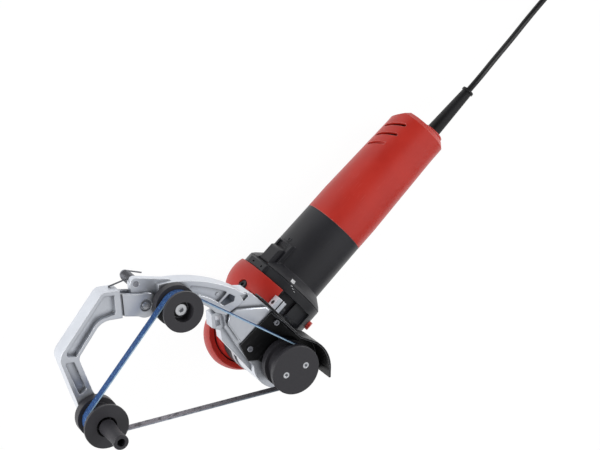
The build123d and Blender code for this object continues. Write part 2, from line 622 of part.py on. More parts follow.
# Spindle with its shoulder for the crown gear
with BuildPart() as spindle:
    turn_z(DRIVE, [
        (0, case_floor + CASE_WALL + 0.5),
        (SPINDLE_TAIL_R, case_floor + CASE_WALL + 0.5),
        (SPINDLE_TAIL_R, AXIS_HEIGHT + 7),
        (SPINDLE_R - 1, AXIS_HEIGHT + 7),
        (SPINDLE_R - 1, AXIS_HEIGHT + CROWN_BACK),
        (SPINDLE_R + 4, AXIS_HEIGHT + CROWN_BACK),
        (SPINDLE_R + 4, AXIS_HEIGHT + CROWN_BACK + 4),
        (SPINDLE_R, AXIS_HEIGHT + CROWN_BACK + 4),
        (SPINDLE_R, CHANNEL_TOP - 3),
        (0, CHANNEL_TOP - 3),
    ])

# Bevel teeth share the point where the spindle and barrel axes cross
APEX = Vector(0, 0, AXIS_HEIGHT)


def tooth_section(place, across, outwards, size, rise, fall):
    """One four sided tooth section, scaled with its distance from the crossing of the axes."""
    plane = Plane(place, x_dir=across, z_dir=across.cross(outwards))
    root_half = 1.35 * TOOTH_HALF * size
    tip_half = 0.62 * TOOTH_HALF * size
    with BuildSketch(plane) as section_shape:
        with BuildLine():
            Polyline((-root_half, -fall * size), (root_half, -fall * size), (tip_half, rise * size),
                     (-tip_half, rise * size), close=True)
        make_face()
    return section_shape.sketch


def add_tooth(outwards, across, sections):
    """Loft one tooth between its large and small ends."""
    faces = []
    for place, size in sections:
        faces.append(tooth_section(place, across, outwards, size, ADDENDUM, DEDENDUM + 0.6))
    loft([face.faces()[0] for face in faces], ruled=True)


small = (CROWN_PITCH_R - TOOTH_FACE) / CROWN_PITCH_R
root_slope = (PINION_R + DEDENDUM) / CROWN_PITCH_R
with BuildPart() as crown_gear:
    inner_r = CROWN_PITCH_R * small - 1.5
    turn_z(DRIVE, [
        (SPINDLE_R - 1 + SEAT, AXIS_HEIGHT + root_slope * inner_r),
        (inner_r, AXIS_HEIGHT + root_slope * inner_r),
        (CROWN_R, AXIS_HEIGHT + root_slope * CROWN_R),
        (CROWN_R, AXIS_HEIGHT + CROWN_BACK),
        (SPINDLE_R - 1 + SEAT, AXIS_HEIGHT + CROWN_BACK),
    ])
    for tooth in range(CROWN_TEETH):
        turn = 2 * pi * (tooth + 0.5) / CROWN_TEETH
        radial = Vector(cos(turn), sin(turn), 0)
        down = Vector(0, 0, -1)
        ends = []
        for size in (1.0, small):
            ends.append((APEX + (radial * CROWN_PITCH_R - down * PINION_R) * size, size))
        add_tooth(down, Vector(0, 0, 1).cross(radial), ends)

with BuildPart() as pinion:
    root = PINION_R - DEDENDUM
    turn_x([
        (CROWN_PITCH_R * small, SHAFT_R - 1 + SEAT),
        (CROWN_PITCH_R * small, max(root * small, SHAFT_R)),
        (CROWN_PITCH_R, root),
        (CROWN_PITCH_R + 8, root),
        (CROWN_PITCH_R + 8, SHAFT_R - 1 + SEAT),
    ])
    for tooth in range(PINION_TEETH):
        turn = 2 * pi * tooth / PINION_TEETH
        radial = Vector(0, sin(turn), cos(turn))
        ends = []
        for size in (1.0, small):
            ends.append((APEX + (Vector(1, 0, 0) * CROWN_PITCH_R + radial * PINION_R) * size, size))
        add_tooth(radial, Vector(1, 0, 0).cross(radial), ends)
    turn_x([(0, 0), (0, SHAFT_R - 1 + SEAT), (CROWN_PITCH_R + 9, SHAFT_R - 1 + SEAT),
            (CROWN_PITCH_R + 9, 0)], Mode.SUBTRACT)

# Armature: shaft with the lock collar, laminated core, windings, commutator and fan
with BuildPart() as armature_shaft:
    turn_x([
        (CROWN_PITCH_R * small - 3, 0),
        (CROWN_PITCH_R * small - 3, SHAFT_R - 1),
        (CROWN_PITCH_R + 8, SHAFT_R - 1),
        (CROWN_PITCH_R + 8, SHAFT_R),
        (LOCK_X - 4, SHAFT_R),
        (LOCK_X - 4, LOCK_COLLAR_R),
        (LOCK_X + 4, LOCK_COLLAR_R),
        (LOCK_X + 4, SHAFT_R),
        (REAR_BEARING_X + BEARING_WIDTH + 2, SHAFT_R),
        (REAR_BEARING_X + BEARING_WIDTH + 2, 0),
    ])
    for turn in range(4):
        radial_bar(LOCK_X, LOCK_ANGLE + 90 * turn, LOCK_PIN_R + 0.6, LOCK_COLLAR_R - LOCK_TRAVEL - 1,
                   LOCK_COLLAR_R + 2, Mode.SUBTRACT)

SLOTS = 12
slot_r = ARMATURE_R - 5.1
stack_end = STACK_X + STACK_LENGTH
with BuildPart() as armature_core:
    turn_x([(STACK_X, SHAFT_R + SEAT), (STACK_X, ARMATURE_R), (STACK_X + STACK_LENGTH, ARMATURE_R),
            (STACK_X + STACK_LENGTH, SHAFT_R + SEAT)])
    for slot_number in range(SLOTS):
        side = 2 * pi * slot_number / SLOTS
        bar_x(slot_r * cos(side), AXIS_HEIGHT + slot_r * sin(side), 2.4, STACK_X - 1, stack_end + 1,
              Mode.SUBTRACT)

with BuildPart() as armature_windings:
    end_turns = 11.0
    winding_r = ARMATURE_R - 2.1
    for start, sign in ((STACK_X, -1), (STACK_X + STACK_LENGTH, 1)):
        turn_x([(start, SHAFT_R + SEAT), (start, winding_r), (start + sign * 0.6 * end_turns, winding_r),
                (start + sign * end_turns, 0.7 * winding_r), (start + sign * end_turns, SHAFT_R + SEAT)])
    for slot_number in range(SLOTS):
        side = 2 * pi * slot_number / SLOTS
        bar_x(slot_r * cos(side), AXIS_HEIGHT + slot_r * sin(side), 2.3, STACK_X - 1, stack_end + 1)

BARS = 24
with BuildPart() as commutator:
    turn_x([
        (COMMUTATOR_X, SHAFT_R + SEAT),
        (COMMUTATOR_X, COMMUTATOR_R + 1.5),
        (COMMUTATOR_X + 3, COMMUTATOR_R + 1.5),
        (COMMUTATOR_X + 3, COMMUTATOR_R),
        (COMMUTATOR_X + COMMUTATOR_LENGTH, COMMUTATOR_R),
        (COMMUTATOR_X + COMMUTATOR_LENGTH, SHAFT_R + SEAT),
    ])
    for bar_number in range(BARS):
        turn = 360 * bar_number / BARS
        slit_place = barrel_point(COMMUTATOR_X + COMMUTATOR_LENGTH / 2 + 2, COMMUTATOR_R, turn)
        out = Vector(*barrel_point(0, 1, turn)) - APEX
        with BuildSketch(Plane(slit_place, x_dir=(1, 0, 0), z_dir=out)):
            Rectangle(COMMUTATOR_LENGTH, 0.5)
        extrude(amount=0.8, both=True, mode=Mode.SUBTRACT)

BLADES = 13
with BuildPart() as cooling_fan:
    fan_end = FAN_X + FAN_LENGTH
    turn_x([(FAN_X, SHAFT_R + SEAT), (FAN_X, 9), (fan_end - 2.5, 9), (fan_end - 2.5, FAN_R),
            (fan_end, FAN_R), (fan_end, SHAFT_R + SEAT)])
    for blade in range(BLADES):
        turn = 360 * blade / BLADES
        out = Vector(*barrel_point(0, 1, turn)) - APEX
        foot = Plane(barrel_point(FAN_X + FAN_LENGTH / 2, 8, turn), x_dir=(1, 0, 0), z_dir=out)
        with BuildSketch(foot):
            Rectangle(FAN_LENGTH - 1, 1.6, rotation=14)
        extrude(amount=FAN_R - 9.5)

with BuildPart() as front_motor_bearing:
    turn_x([(FLANGE_X, SHAFT_R + RUN), (FLANGE_X, FRONT_BEARING_R),
            (FLANGE_X + BEARING_WIDTH, FRONT_BEARING_R), (FLANGE_X + BEARING_WIDTH, SHAFT_R + RUN)])

rear_end = REAR_BEARING_X + BEARING_WIDTH
with BuildPart() as rear_motor_bearing:
    turn_x([(REAR_BEARING_X, SHAFT_R + RUN), (REAR_BEARING_X, REAR_BEARING_R),
            (rear_end, REAR_BEARING_R), (rear_end, SHAFT_R + RUN)])

# Stator stack with side flats, and its two field coils
with BuildPart() as stator_core:
    turn_x([(STACK_X, STATOR_BORE), (STACK_X, STATOR_R), (STACK_X + STACK_LENGTH, STATOR_R),
            (STACK_X + STACK_LENGTH, STATOR_BORE)])
    for side in (1, -1):
        side_plate((STACK_X - 1, stack_end + 1), (side * FLAT_Y, side * (STATOR_R + 1)), STATOR_R,
                   Mode.SUBTRACT)

with BuildPart() as field_coils:
    for start, end in ((STACK_X - 9, STACK_X), (STACK_X + STACK_LENGTH, STACK_X + STACK_LENGTH + 9)):
        turn_x([(start, STATOR_BORE + 0.4), (start, FLAT_Y - 0.5), (end, FLAT_Y - 0.5),
                (end, STATOR_BORE + 0.4)])

# Air baffle between the fan and the stack
with BuildPart() as air_baffle:
    baffle_x = FAN_X + FAN_LENGTH + 2
    baffle_r = SLEEVE_R - WALL
    turn_x([(baffle_x, 14), (baffle_x, baffle_r), (baffle_x + 3, baffle_r), (baffle_x + 3, 14)])
    side_plate((baffle_x - 1, baffle_x + 4), (FLAT_Y - 0.5, baffle_r + 1), ROD_WIDTH, Mode.SUBTRACT)

# Rear bearing bridge, with the brush gear in front of it
bridge_r = TAIL_BORE - SEAT
with BuildPart() as bearing_bridge:
    turn_x([(REAR_BEARING_X + 1, REAR_BEARING_R + SEAT), (REAR_BEARING_X + 1, bridge_r),
            (rear_end, bridge_r), (rear_end, REAR_BEARING_R + SEAT)])
    turn_x([(rear_end - 1, 0), (rear_end - 1, REAR_BEARING_R + 2), (rear_end + 4, REAR_BEARING_R + 2),
            (rear_end + 4, 0)])
    turn_x([
        (REAR_BEARING_X, 0),
        (REAR_BEARING_X, REAR_BEARING_R + SEAT),
        (rear_end, REAR_BEARING_R + SEAT),
        (rear_end, SHAFT_R + 1),
        (rear_end + 2.5, SHAFT_R + 1),
        (rear_end + 2.5, 0),
    ], Mode.SUBTRACT)
    side_plate((REAR_BEARING_X, rear_end + 1), (FLAT_Y - 1.5, bridge_r + 1), ROD_WIDTH, Mode.SUBTRACT)
    for turn in (55, 125, 235, 305):
        side = radians(turn)
        bar_x(21 * cos(side), AXIS_HEIGHT + 21 * sin(side), 5, REAR_BEARING_X, rear_end + 1, Mode.SUBTRACT)

BRUSH = (6.0, 9.0)   # brush size along and across the barrel
brush_x = COMMUTATOR_X + COMMUTATOR_LENGTH / 2 + 2
half_long, half_wide = BRUSH[0] / 2, BRUSH[1] / 2
with BuildPart() as brush_holders:
    for side in (1, -1):
        heights = sorted((AXIS_HEIGHT + side * (COMMUTATOR_R + 2), AXIS_HEIGHT + side * (bridge_r - 2)))
        block((brush_x - half_long - 1.5, REAR_BEARING_X + 1), (-half_wide - 1.5, half_wide + 1.5), heights)
        room = (heights[0] - 1, heights[1] - 1.2) if side > 0 else (heights[0] + 1.2, heights[1] + 1)
        block((brush_x - half_long - SEAT, brush_x + half_long + SEAT), (-half_wide - SEAT, half_wide + SEAT),
              room, Mode.SUBTRACT)

brush_length = 9.0
with BuildPart() as carbon_brushes:
    for side in (1, -1):
        reach = COMMUTATOR_R + GAP
        heights = sorted((AXIS_HEIGHT + side * reach, AXIS_HEIGHT + side * (reach + brush_length)))
        block((brush_x - half_long, brush_x + half_long), (-half_wide, half_wide), heights)

with BuildPart() as brush_springs:
    for turn in (90, 270):
        radial_bar(brush_x, turn, 2.4, COMMUTATOR_R + GAP + brush_length, bridge_r - 3.2)
        radial_bar(brush_x, turn, 1.6, COMMUTATOR_R + GAP + brush_length, bridge_r - 3.2, Mode.SUBTRACT)

# Mains switch, control module and cord clamp seated in the tail
module_x = REAR_BEARING_X + BEARING_WIDTH + 5
clamp_end = END_X - 18


def trim_to_tail():
    """Keep only what fits into the bore of the tail."""
    turn_x([(module_x - 1, 0), (module_x - 1, bridge_r), (clamp_end + 1, bridge_r), (clamp_end + 1, 0)],
           Mode.INTERSECT)


with BuildPart() as switch_body:
    block((module_x, module_x + 22), (8, FLAT_Y - 3.5), (AXIS_HEIGHT - 11, AXIS_HEIGHT + 60))

with BuildPart() as mains_switch:
    add(switch_body.part.rotate(BARREL_AXIS, SWITCH_ANGLE))
    side_plate((module_x + 4, module_x + 18), (FLAT_Y - 4, FLAT_Y - 2), 4)
    trim_to_tail()

with BuildPart() as control_module:
    block((module_x, clamp_end - 10), (-20, 7), (AXIS_HEIGHT - 60, AXIS_HEIGHT - 12))
    block((module_x + 3, module_x + 13), (-15, -3), (AXIS_HEIGHT - 13, AXIS_HEIGHT - 8))
    trim_to_tail()

with BuildPart() as cord_clamp:
    block((clamp_end - 9, clamp_end), (exit_y - 9, exit_y + 9), (exit_z - 6, exit_z + 60))
    trim_to_tail()
    bar_x(exit_y, exit_z, CORD_R + SEAT, clamp_end - 10, clamp_end + 1, Mode.SUBTRACT)

# Strain relief sleeve, moulded round the end of the cord
with BuildPart() as strain_relief:
    relief_end = END_X + LIP_T + RELIEF_LENGTH
    bar_x(exit_y, exit_z, CORD_R, clamp_end - 14, tail_floor)
    bar_x(exit_y, exit_z, RELIEF_ROOT_R + 2, tail_floor - 4, tail_floor)
    with BuildSketch(Plane((0, exit_y, exit_z), x_dir=(1, 0, 0), z_dir=(0, -1, 0))):
        with BuildLine():
            Polyline((tail_floor - 1, 0), (tail_floor - 1, RELIEF_ROOT_R), (END_X + LIP_T, RELIEF_ROOT_R),
                     (END_X + LIP_T, RELIEF_BASE_R), (relief_end - 2.4, RELIEF_END_R),
                     (relief_end - 2.4, RELIEF_END_R + 1.3), (relief_end, RELIEF_END_R + 1.0),
                     (relief_end, 0), close=True)
        make_face()
    revolve(axis=Axis((0, exit_y, exit_z), (1, 0, 0)))

# Slide switch: button on the sleeve and the rod that works the mains switch
with BuildPart() as button_body:
    half = SWITCH_WIDTH / 2
    foot = FLAT_Y + 0.4 + ROD_T
    button_end = SWITCH_X + SWITCH_LENGTH
    button_floor = TRACK_FLOOR + GAP
    with BuildSketch(BARREL_PLANE):
        with BuildLine():
            Polyline((SWITCH_X, button_floor), (SWITCH_X, SWITCH_TOP - 1.8), (SWITCH_X + 1.8, SWITCH_TOP),
                     (button_end - 3.4, SWITCH_TOP), (button_end, SWITCH_TOP - 4.6),
                     (button_end, button_floor), close=True)
        make_face()
    extrude(amount=half, both=True)
    chamfer(button_body.edges().group_by(Axis.Z)[-1], 1.2)

with BuildPart() as slide_button:
    add(button_body.part.rotate(BARREL_AXIS, SWITCH_ANGLE - 90))
    side_plate((SWITCH_X + FOOT_X[0], SWITCH_X + FOOT_X[1]), (foot, button_floor + 1), FOOT_WIDTH / 2)

with BuildPart() as switch_rod:
    side_plate((SWITCH_X + 1, module_x + 12), (foot - ROD_T, foot), ROD_WIDTH / 2)
    side_plate((module_x + 5, module_x + 7), (FLAT_Y - 1.7, FLAT_Y + 1), ROD_WIDTH / 2)

# Shaft lock button and its return spring
with BuildPart() as lock_button:
    radial_bar(LOCK_X, LOCK_ANGLE, LOCK_PIN_R, LOCK_COLLAR_R + GAP, FLANGE_R)
    radial_bar(LOCK_X, LOCK_ANGLE, 2 * LOCK_PIN_R, FLANGE_R - 1, FLANGE_R + 3.6)

with BuildPart() as lock_spring:
    spring_seat = FLANGE_R - LOCK_TRAVEL - 2
    radial_bar(LOCK_X, LOCK_ANGLE, 2 * LOCK_PIN_R - 0.4, spring_seat, spring_seat + 0.8)
    radial_bar(LOCK_X, LOCK_ANGLE, LOCK_PIN_R + 0.4, spring_seat - 1, FLANGE_R, Mode.SUBTRACT)

# Drive roller on the spindle, its front disc and two socket screws
disc_floor = FRONT_Z - DISC_T
with BuildPart() as drive_roller:
    turn_z(DRIVE, [
        (SPINDLE_R + SEAT, DRIVE_BACK),
        (DRIVE_BACK_R, DRIVE_BACK),
        (DRIVE_BACK_R, CHANNEL_BOTTOM),
        (DRIVE_DRUM_R, CHANNEL_BOTTOM),
        (DRIVE_DRUM_R, disc_floor),
        (0, disc_floor),
        (0, CHANNEL_TOP - 3 + SEAT),
        (SPINDLE_R + SEAT, CHANNEL_TOP - 3 + SEAT),
    ])
    disc_screws = []
    for side in (0, 180):
        turn = radians(DISC_SCREW_ANGLE + side)
        disc_screws.append((DISC_SCREW_R * cos(turn), DISC_SCREW_R * sin(turn)))
    for spot in disc_screws:
        post(spot, 2 + THREAD, CHANNEL_TOP - 9, disc_floor + 1, Mode.SUBTRACT)

with BuildPart() as drive_disc:
    post(DRIVE, DRIVE_DISC_R, disc_floor, FRONT_Z)
    chamfer(drive_disc.edges().group_by(Axis.Z)[-1], 0.8)
    for spot in disc_screws:
        post(spot, 2 + THREAD, disc_floor, FRONT_Z, Mode.SUBTRACT)
        post(spot, 3.5 + THREAD, FRONT_Z - 4, FRONT_Z, Mode.SUBTRACT)

with BuildPart() as disc_screw_pair:
    for spot in disc_screws:
        post(spot, 2, CHANNEL_TOP - 8, FRONT_Z - 4)
        post(spot, 3.5, FRONT_Z - 4, FRONT_Z - 0.2)
        hex_socket(spot, 3.0, FRONT_Z - 0.2, 2.2)


def spool(centre, front, back, front_r, back_r, drum_r):
    """A flanged roller with bearing seats at both ends and a recess for the axle head."""
    seat = ROLLER_BEARING_R + SEAT
    bearing_top = FRONT_Z - HUB_RECESS - 4 - GAP
    turn_z(centre, [(AXLE_R + 1.5, back), (back_r, back), (back_r, CHANNEL_BOTTOM), (drum_r, CHANNEL_BOTTOM),
                    (drum_r, front - RIM_T), (front_r, front - RIM_T), (front_r, front),
                    (AXLE_R + 1.5, front)])
    post(centre, HUB_RECESS_R, bearing_top, front, Mode.SUBTRACT)
    post(centre, seat, bearing_top - ROLLER_BEARING_T, bearing_top, Mode.SUBTRACT)
    post(centre, seat, back, back + ROLLER_BEARING_T + 1.6, Mode.SUBTRACT)


def roller_bearings(centre):
    """The two ball bearings of a roller."""
    bearing_top = FRONT_Z - HUB_RECESS - 4 - GAP
    for bottom in (bearing_top - ROLLER_BEARING_T, ROLLER_BACK + 1.6):
        post(centre, ROLLER_BEARING_R, bottom, bottom + ROLLER_BEARING_T)
        post(centre, AXLE_R + RUN, bottom, bottom + ROLLER_BEARING_T, Mode.SUBTRACT)


def axle(centre, top):
    """A stepped axle screwed into the arm."""
    shoulder = ROLLER_BACK + 1.6 - GAP
    turn_z(centre, [
        (0, ARM_BACK + 2),
        (AXLE_R - THREAD, ARM_BACK + 2),
        (AXLE_R - THREAD, ARM_FRONT),
        (AXLE_R + 2, ARM_FRONT),
        (AXLE_R + 2, shoulder),
        (AXLE_R, shoulder),
        (AXLE_R, top),
        (0, top),
    ])


with BuildPart() as idler_roller:
    spool(IDLER, FRONT_Z, ROLLER_BACK, IDLER_RIM_R, IDLER_RIM_R, IDLER_DRUM_R)

with BuildPart() as idler_bearings:
    roller_bearings(IDLER)

with BuildPart() as idler_axle:
    head = FRONT_Z - HUB_RECESS
    axle(IDLER, head - 3)
    post(IDLER, AXLE_R + 2, head - 4, head)
    hex_socket(IDLER, 5.0, head, 3)

with BuildPart() as tip_roller:
    spool(TIP, FRONT_Z + TIP_FORWARD, ROLLER_BACK, TIP_RIM_R, IDLER_RIM_R, IDLER_DRUM_R)

with BuildPart() as tip_bearings:
    roller_bearings(TIP)

grip_floor = FRONT_Z + TIP_FORWARD + 0.5
grip_top = FRONT_Z + GRIP_END
with BuildPart() as tip_axle:
    axle(TIP, grip_floor + 8)
    post(TIP, AXLE_R + 2, FRONT_Z - HUB_RECESS - 4, grip_floor)

with BuildPart() as grip_stub:
    turn_z(TIP, [(0, grip_floor), (GRIP_BASE_R, grip_floor), (GRIP_BASE_R - 0.6, grip_floor + 12),
                 (GRIP_END_R, grip_top - 9), (GRIP_END_R, grip_top - 6), (GRIP_LIP_R, grip_top - 5.4),
                 (GRIP_LIP_R, grip_top - 0.8), (GRIP_LIP_R - 0.8, grip_top), (0, grip_top)])
    post(TIP, AXLE_R + SEAT, grip_floor, grip_floor + 8 + SEAT, Mode.SUBTRACT)
    post(TIP, GRIP_BORE_R, grip_top - GRIP_BORE_DEPTH, grip_top, Mode.SUBTRACT)

# Sanding belt round the three drums
LOOP = [(DRIVE, DRIVE_DRUM_R), (IDLER, IDLER_DRUM_R), (TIP, IDLER_DRUM_R)]


def belt_outline(extra):
    """Tangent lines and arcs round the drums, grown by a distance."""
    count = len(LOOP)
    normals = []
    for number in range(count):
        (here, here_r), (there, there_r) = LOOP[number], LOOP[(number + 1) % count]
        run = Vector(there[0] - here[0], there[1] - here[1], 0)
        lean = (here_r - there_r) / run.length
        ahead = run.normalized()
        right = Vector(ahead.Y, -ahead.X, 0)
        normals.append(ahead * lean + right * sqrt(1 - lean * lean))
    for number in range(count):
        middle, radius = Vector(*LOOP[number][0]), LOOP[number][1] + extra
        after, after_r = Vector(*LOOP[(number + 1) % count][0]), LOOP[(number + 1) % count][1] + extra
        arrive, leave = normals[number - 1], normals[number]
        between = (arrive + leave).normalized()
        if arrive.cross(leave).Z < 0:
            between = between * -1
        ThreePointArc(middle + arrive * radius, middle + between * radius, middle + leave * radius)
        Line(middle + leave * radius, after + leave * after_r)


with BuildPart() as sanding_belt:
    with BuildSketch(Plane.XY.offset(BELT_Z - BELT_WIDTH / 2)):
        with BuildLine():
            belt_outline(GAP + BELT_T)
        make_face()
        with BuildLine():
            belt_outline(GAP)
        make_face(mode=Mode.SUBTRACT)
    extrude(amount=BELT_WIDTH)

# Arm bracket: clamp ring, base and inner arm in one aluminium casting
BASE_OUTLINE = [(30.5, 8), (30.5, 50), (28, 86), (20, 96), (-7, 98), (-9.5, 89), (-13, 83), (-16.6, 77),
                (-22, 51), (-25, 29), (-27, 6), (0, -15)]
BASE_LEDGE = [(0, 70), (-20, 77), (-27.5, 66), (-28.3, 54), (-31.4, 4), (0, -15)]
BASE_PAD = [(-3, 90.5), (6, 88), (29.5, 61.5), (29.5, 55.5), (-18.5, 55.5), (-13, 83)]
STRAP_LUG = [(-25.3, 88), (-16, 99.5), (-8, 96), (-6, 88), (-13, 79), (-21.5, 79.5)]
STRAP_HOLE = [(-21.5, 85.8), (-14.6, 95), (-10.4, 92), (-17.2, 83)]
WINDOW = [(-1.6, 105.3), (12.2, 104.8), (14.1, 97), (9.8, 94.3), (-0.6, 99.6)]
CORNER_DIP = [(18.5, 93.5), (24.8, 87.5), (22.5, 84.2), (16.2, 84)]
PANEL_PIN = (3.6, 113.1)
arm_outer = [(24.5, 84), (3.5, 137), (-30, 174)]
arm_inner = [(-24, 139.5), (-14.5, 121), (-11.5, 102)]
panel_outer = [(12.2, 107.5), (3, 126.5), (-9.2, 145.9)]
panel_inner = [(-16, 138.7), (-7, 124.1), (-2.3, 107.5)]
panel_floor = ARM_FRONT - PANEL_DEPTH
with BuildPart() as arm_bracket:
    slab(BASE_OUTLINE, BASE_BOTTOM, BASE_TOP, corners=[(2, 6)])
    slab(BASE_LEDGE, BASE_BOTTOM, BASE_BOTTOM + LEDGE_T)
    slab(BASE_PAD, BASE_TOP - 1, BASE_TOP + PAD_RISE, taper=12)
    post(DRIVE, CLAMP_R, CLAMP_BOTTOM, BASE_TOP)
    block(LUG[0:2], LUG[2:4], (CLAMP_BOTTOM, CLAMP_BOTTOM + LUG_T))
    with BuildSketch(Plane.XY.offset(ARM_BACK)):
        with BuildLine():
            ThreePointArc(*arm_outer)
            Polyline(arm_outer[-1], (-37.5, 164), (-40, 150), arm_inner[0])
            ThreePointArc(*arm_inner)
            Polyline(arm_inner[-1], (-6, 90), arm_outer[0])
        make_face()
        with Locations(IDLER):
            Circle(13)
    extrude(amount=ARM_T)
    with BuildSketch(Plane.XY.offset(WEB_BOTTOM)):
        with BuildLine():
            CenterArc(HINGE, HINGE_EAR_R - 1, 0, 360)
            CenterArc(SPRING, 6.4, 0, 360)
            CenterArc((-29, 160), 12, 0, 360)
        make_hull()
    extrude(amount=WEB_T)
    for bottom in (panel_floor, ARM_BACK):
        with BuildSketch(Plane.XY.offset(bottom)) as panel_shape:
            with BuildLine():
                ThreePointArc(*panel_outer)
                Line(panel_outer[-1], panel_inner[0])
                ThreePointArc(*panel_inner)
                Line(panel_inner[-1], panel_outer[0])
            make_face()
            fillet(panel_shape.vertices(), 1.5)
        extrude(amount=PANEL_DEPTH, mode=Mode.SUBTRACT)
    post(PANEL_PIN, 1.9, panel_floor - 1, panel_floor + 0.9)
    slab(WINDOW, ARM_FRONT - WINDOW_DEPTH, ARM_FRONT, Mode.SUBTRACT, corners=[(1, 1.5), (2, 2), (3, 1.5)])
    slab(CORNER_DIP, ARM_FRONT - 5, ARM_FRONT, Mode.SUBTRACT)
    slab(STRAP_LUG, BASE_BOTTOM + 4, BASE_BOTTOM + 18)
    slab(STRAP_HOLE, BASE_BOTTOM + 4, BASE_BOTTOM + 18, Mode.SUBTRACT)
    post(DRIVE, COLLAR_R + RUN, CLAMP_BOTTOM, COLLAR_TOP + GAP, Mode.SUBTRACT)
    post(DRIVE, 16, COLLAR_TOP, BASE_TOP, Mode.SUBTRACT)
    slit_y = (LUG[2] + LUG[3]) / 2
    block((LUG[0] - 4, LUG[1] + 1), (slit_y - SLIT / 2, slit_y + SLIT / 2), (CLAMP_BOTTOM, BASE_BOTTOM - 2),
          Mode.SUBTRACT)
    clamp_x, clamp_z = LUG[1] - 8, CLAMP_BOTTOM + LUG_T / 2
    bar_y(clamp_x, clamp_z, 2.5 + THREAD, LUG[2], LUG[3], Mode.SUBTRACT)
    post(HINGE, HINGE_PIN_R + RUN, WEB_BOTTOM, WEB_TOP, Mode.SUBTRACT)
    post(SPRING, SPRING_PIN_R + SEAT, WEB_BOTTOM, WEB_TOP, Mode.SUBTRACT)
    post(IDLER, AXLE_R, ARM_BACK + 2, ARM_FRONT, Mode.SUBTRACT)
    for spot in GUARD_SCREWS:
        post(spot, 2 + THREAD, BASE_TOP - 10, BASE_TOP, Mode.SUBTRACT)

with BuildPart() as clamp_screw:
    bar_y(clamp_x, clamp_z, 2.5, LUG[2] - 1, LUG[3])
    bar_y(clamp_x, clamp_z, 4.2, LUG[2] - 5, LUG[2])
    bar_y(clamp_x, clamp_z, 2.2, LUG[2] - 5, LUG[2] - 2.4, Mode.SUBTRACT)

# Guard sheet behind the drive roller, with its bent wall
GUARD_BEND = [(28.5, 50), (28.5, 22), (35.5, 3)]
GUARD_ROUND = [(35.5, 3), (34.8, -18), (24, -35)]
GUARD_END = (19, -40.5)
GUARD_EDGE = [GUARD_END, (0, -30), (-16, -8), (-17.9, 22.8), (-25.7, 31.5), (-23.5, 41.2), (-19.5, 52.5)]
GUARD_STRIP = [(30.5, 32), (30.5, 70), (31.2, 72), (32.5, 70.5), (32.5, 32)]
STRIP_FALL = 12.0    # down the side of the base
with BuildPart() as guard_sheet:
    with BuildSketch(Plane.XY.offset(BASE_TOP)):
        with BuildLine():
            Polyline(*GUARD_BEND)
            ThreePointArc(*GUARD_ROUND)
            Line(GUARD_ROUND[-1], GUARD_END)
            Polyline(*GUARD_EDGE, GUARD_BEND[0])
        make_face()
        Circle(16, mode=Mode.SUBTRACT)
    extrude(amount=SHEET_T)
    with BuildSketch(Plane.XY.offset(BASE_TOP)):
        with BuildLine():
            Polyline(*GUARD_BEND)
            ThreePointArc(*GUARD_ROUND)
            Line(GUARD_ROUND[-1], GUARD_END)
        trace(line_width=SHEET_T)
    extrude(amount=FRONT_Z - SHEET_WALL_TOP - BASE_TOP)
    slab(GUARD_STRIP, BASE_TOP - STRIP_FALL, BASE_TOP + SHEET_T)
    block((GUARD_BEND[0][0] - 1, GUARD_STRIP[-1][0]), (32, 48), (BASE_TOP, BASE_TOP + SHEET_T))
    for spot in GUARD_SCREWS:
        post(spot, 2 + THREAD, BASE_TOP, BASE_TOP + SHEET_T, Mode.SUBTRACT)

with BuildPart() as guard_screws:
    for spot in GUARD_SCREWS:
        post(spot, 2, BASE_TOP - 9, BASE_TOP + SHEET_T)
        post(spot, 3.2, BASE_TOP + SHEET_T, BASE_TOP + SHEET_T + 2.2)
        hex_socket(spot, 3.0, BASE_TOP + SHEET_T + 2.2, 1.5)

# Outer arm, hinged to the bracket, with recessed panels on both faces
OUTER_OUTLINE = [(-59.5, 202), (-73, 214.8), (-147.6, 201.9), (-171, 150), (-178.3, 131), (-155.5, 126),
                 (-151.3, 148), (-135.5, 185.7), (-93.8, 194.3), (-77.5, 179)]
PANELS = [
    [(-66.3, 202.8), (-73.5, 210.6), (-139.6, 199.2), (-141.4, 195.6), (-135.5, 188.6), (-95.2, 197.4),
     (-79.2, 187.6)],
    [(-147, 192.2), (-140.9, 186.4), (-153.6, 155.2), (-162.6, 156.6), (-149.2, 190.4)],
]
PANEL_CORNERS = [[(1, 3), (2, 3), (5, 14), (6, 2)], [(1, 2), (2, 2), (3, 2)]]
CHEEK_GROOVE = [(-58.3, 203.6), (-78.7, 177.4), (-76.6, 175.7), (-56.2, 201.9)]
with BuildPart() as outer_arm:
    slab(OUTER_OUTLINE, ARM_BACK, ARM_FRONT, corners=[(1, 8), (2, 14), (7, 8), (8, 18)])
    post(TIP, 12, ARM_BACK, ARM_FRONT)
    ear = [(-66, 203), (-80, 184), (-58.6, 156.3), (-40.3, 170.7)]
    for bottom in (ARM_FRONT - EAR_SET_BACK - EAR_T, ARM_BACK + EAR_SET_BACK):
        slab(ear, bottom, bottom + EAR_T)
        post(HINGE, HINGE_EAR_R, bottom, bottom + EAR_T)
    for panel, rounded in zip(PANELS, PANEL_CORNERS):
        for bottom, top in ((WEB_TOP, ARM_FRONT), (ARM_BACK, WEB_BOTTOM)):
            slab(panel, bottom, top, Mode.SUBTRACT, rounded)
    cheek_face = ARM_FRONT - EAR_SET_BACK
    slab(CHEEK_GROOVE, cheek_face - 2.2, cheek_face, Mode.SUBTRACT)
    post(HINGE, HINGE_PIN_R + 2.2, cheek_face - 1.5, cheek_face, Mode.SUBTRACT)
    post(HINGE, HINGE_PIN_R + SEAT, ARM_BACK, ARM_FRONT, Mode.SUBTRACT)
    post(TIP, AXLE_R, ARM_BACK + 2, ARM_FRONT, Mode.SUBTRACT)

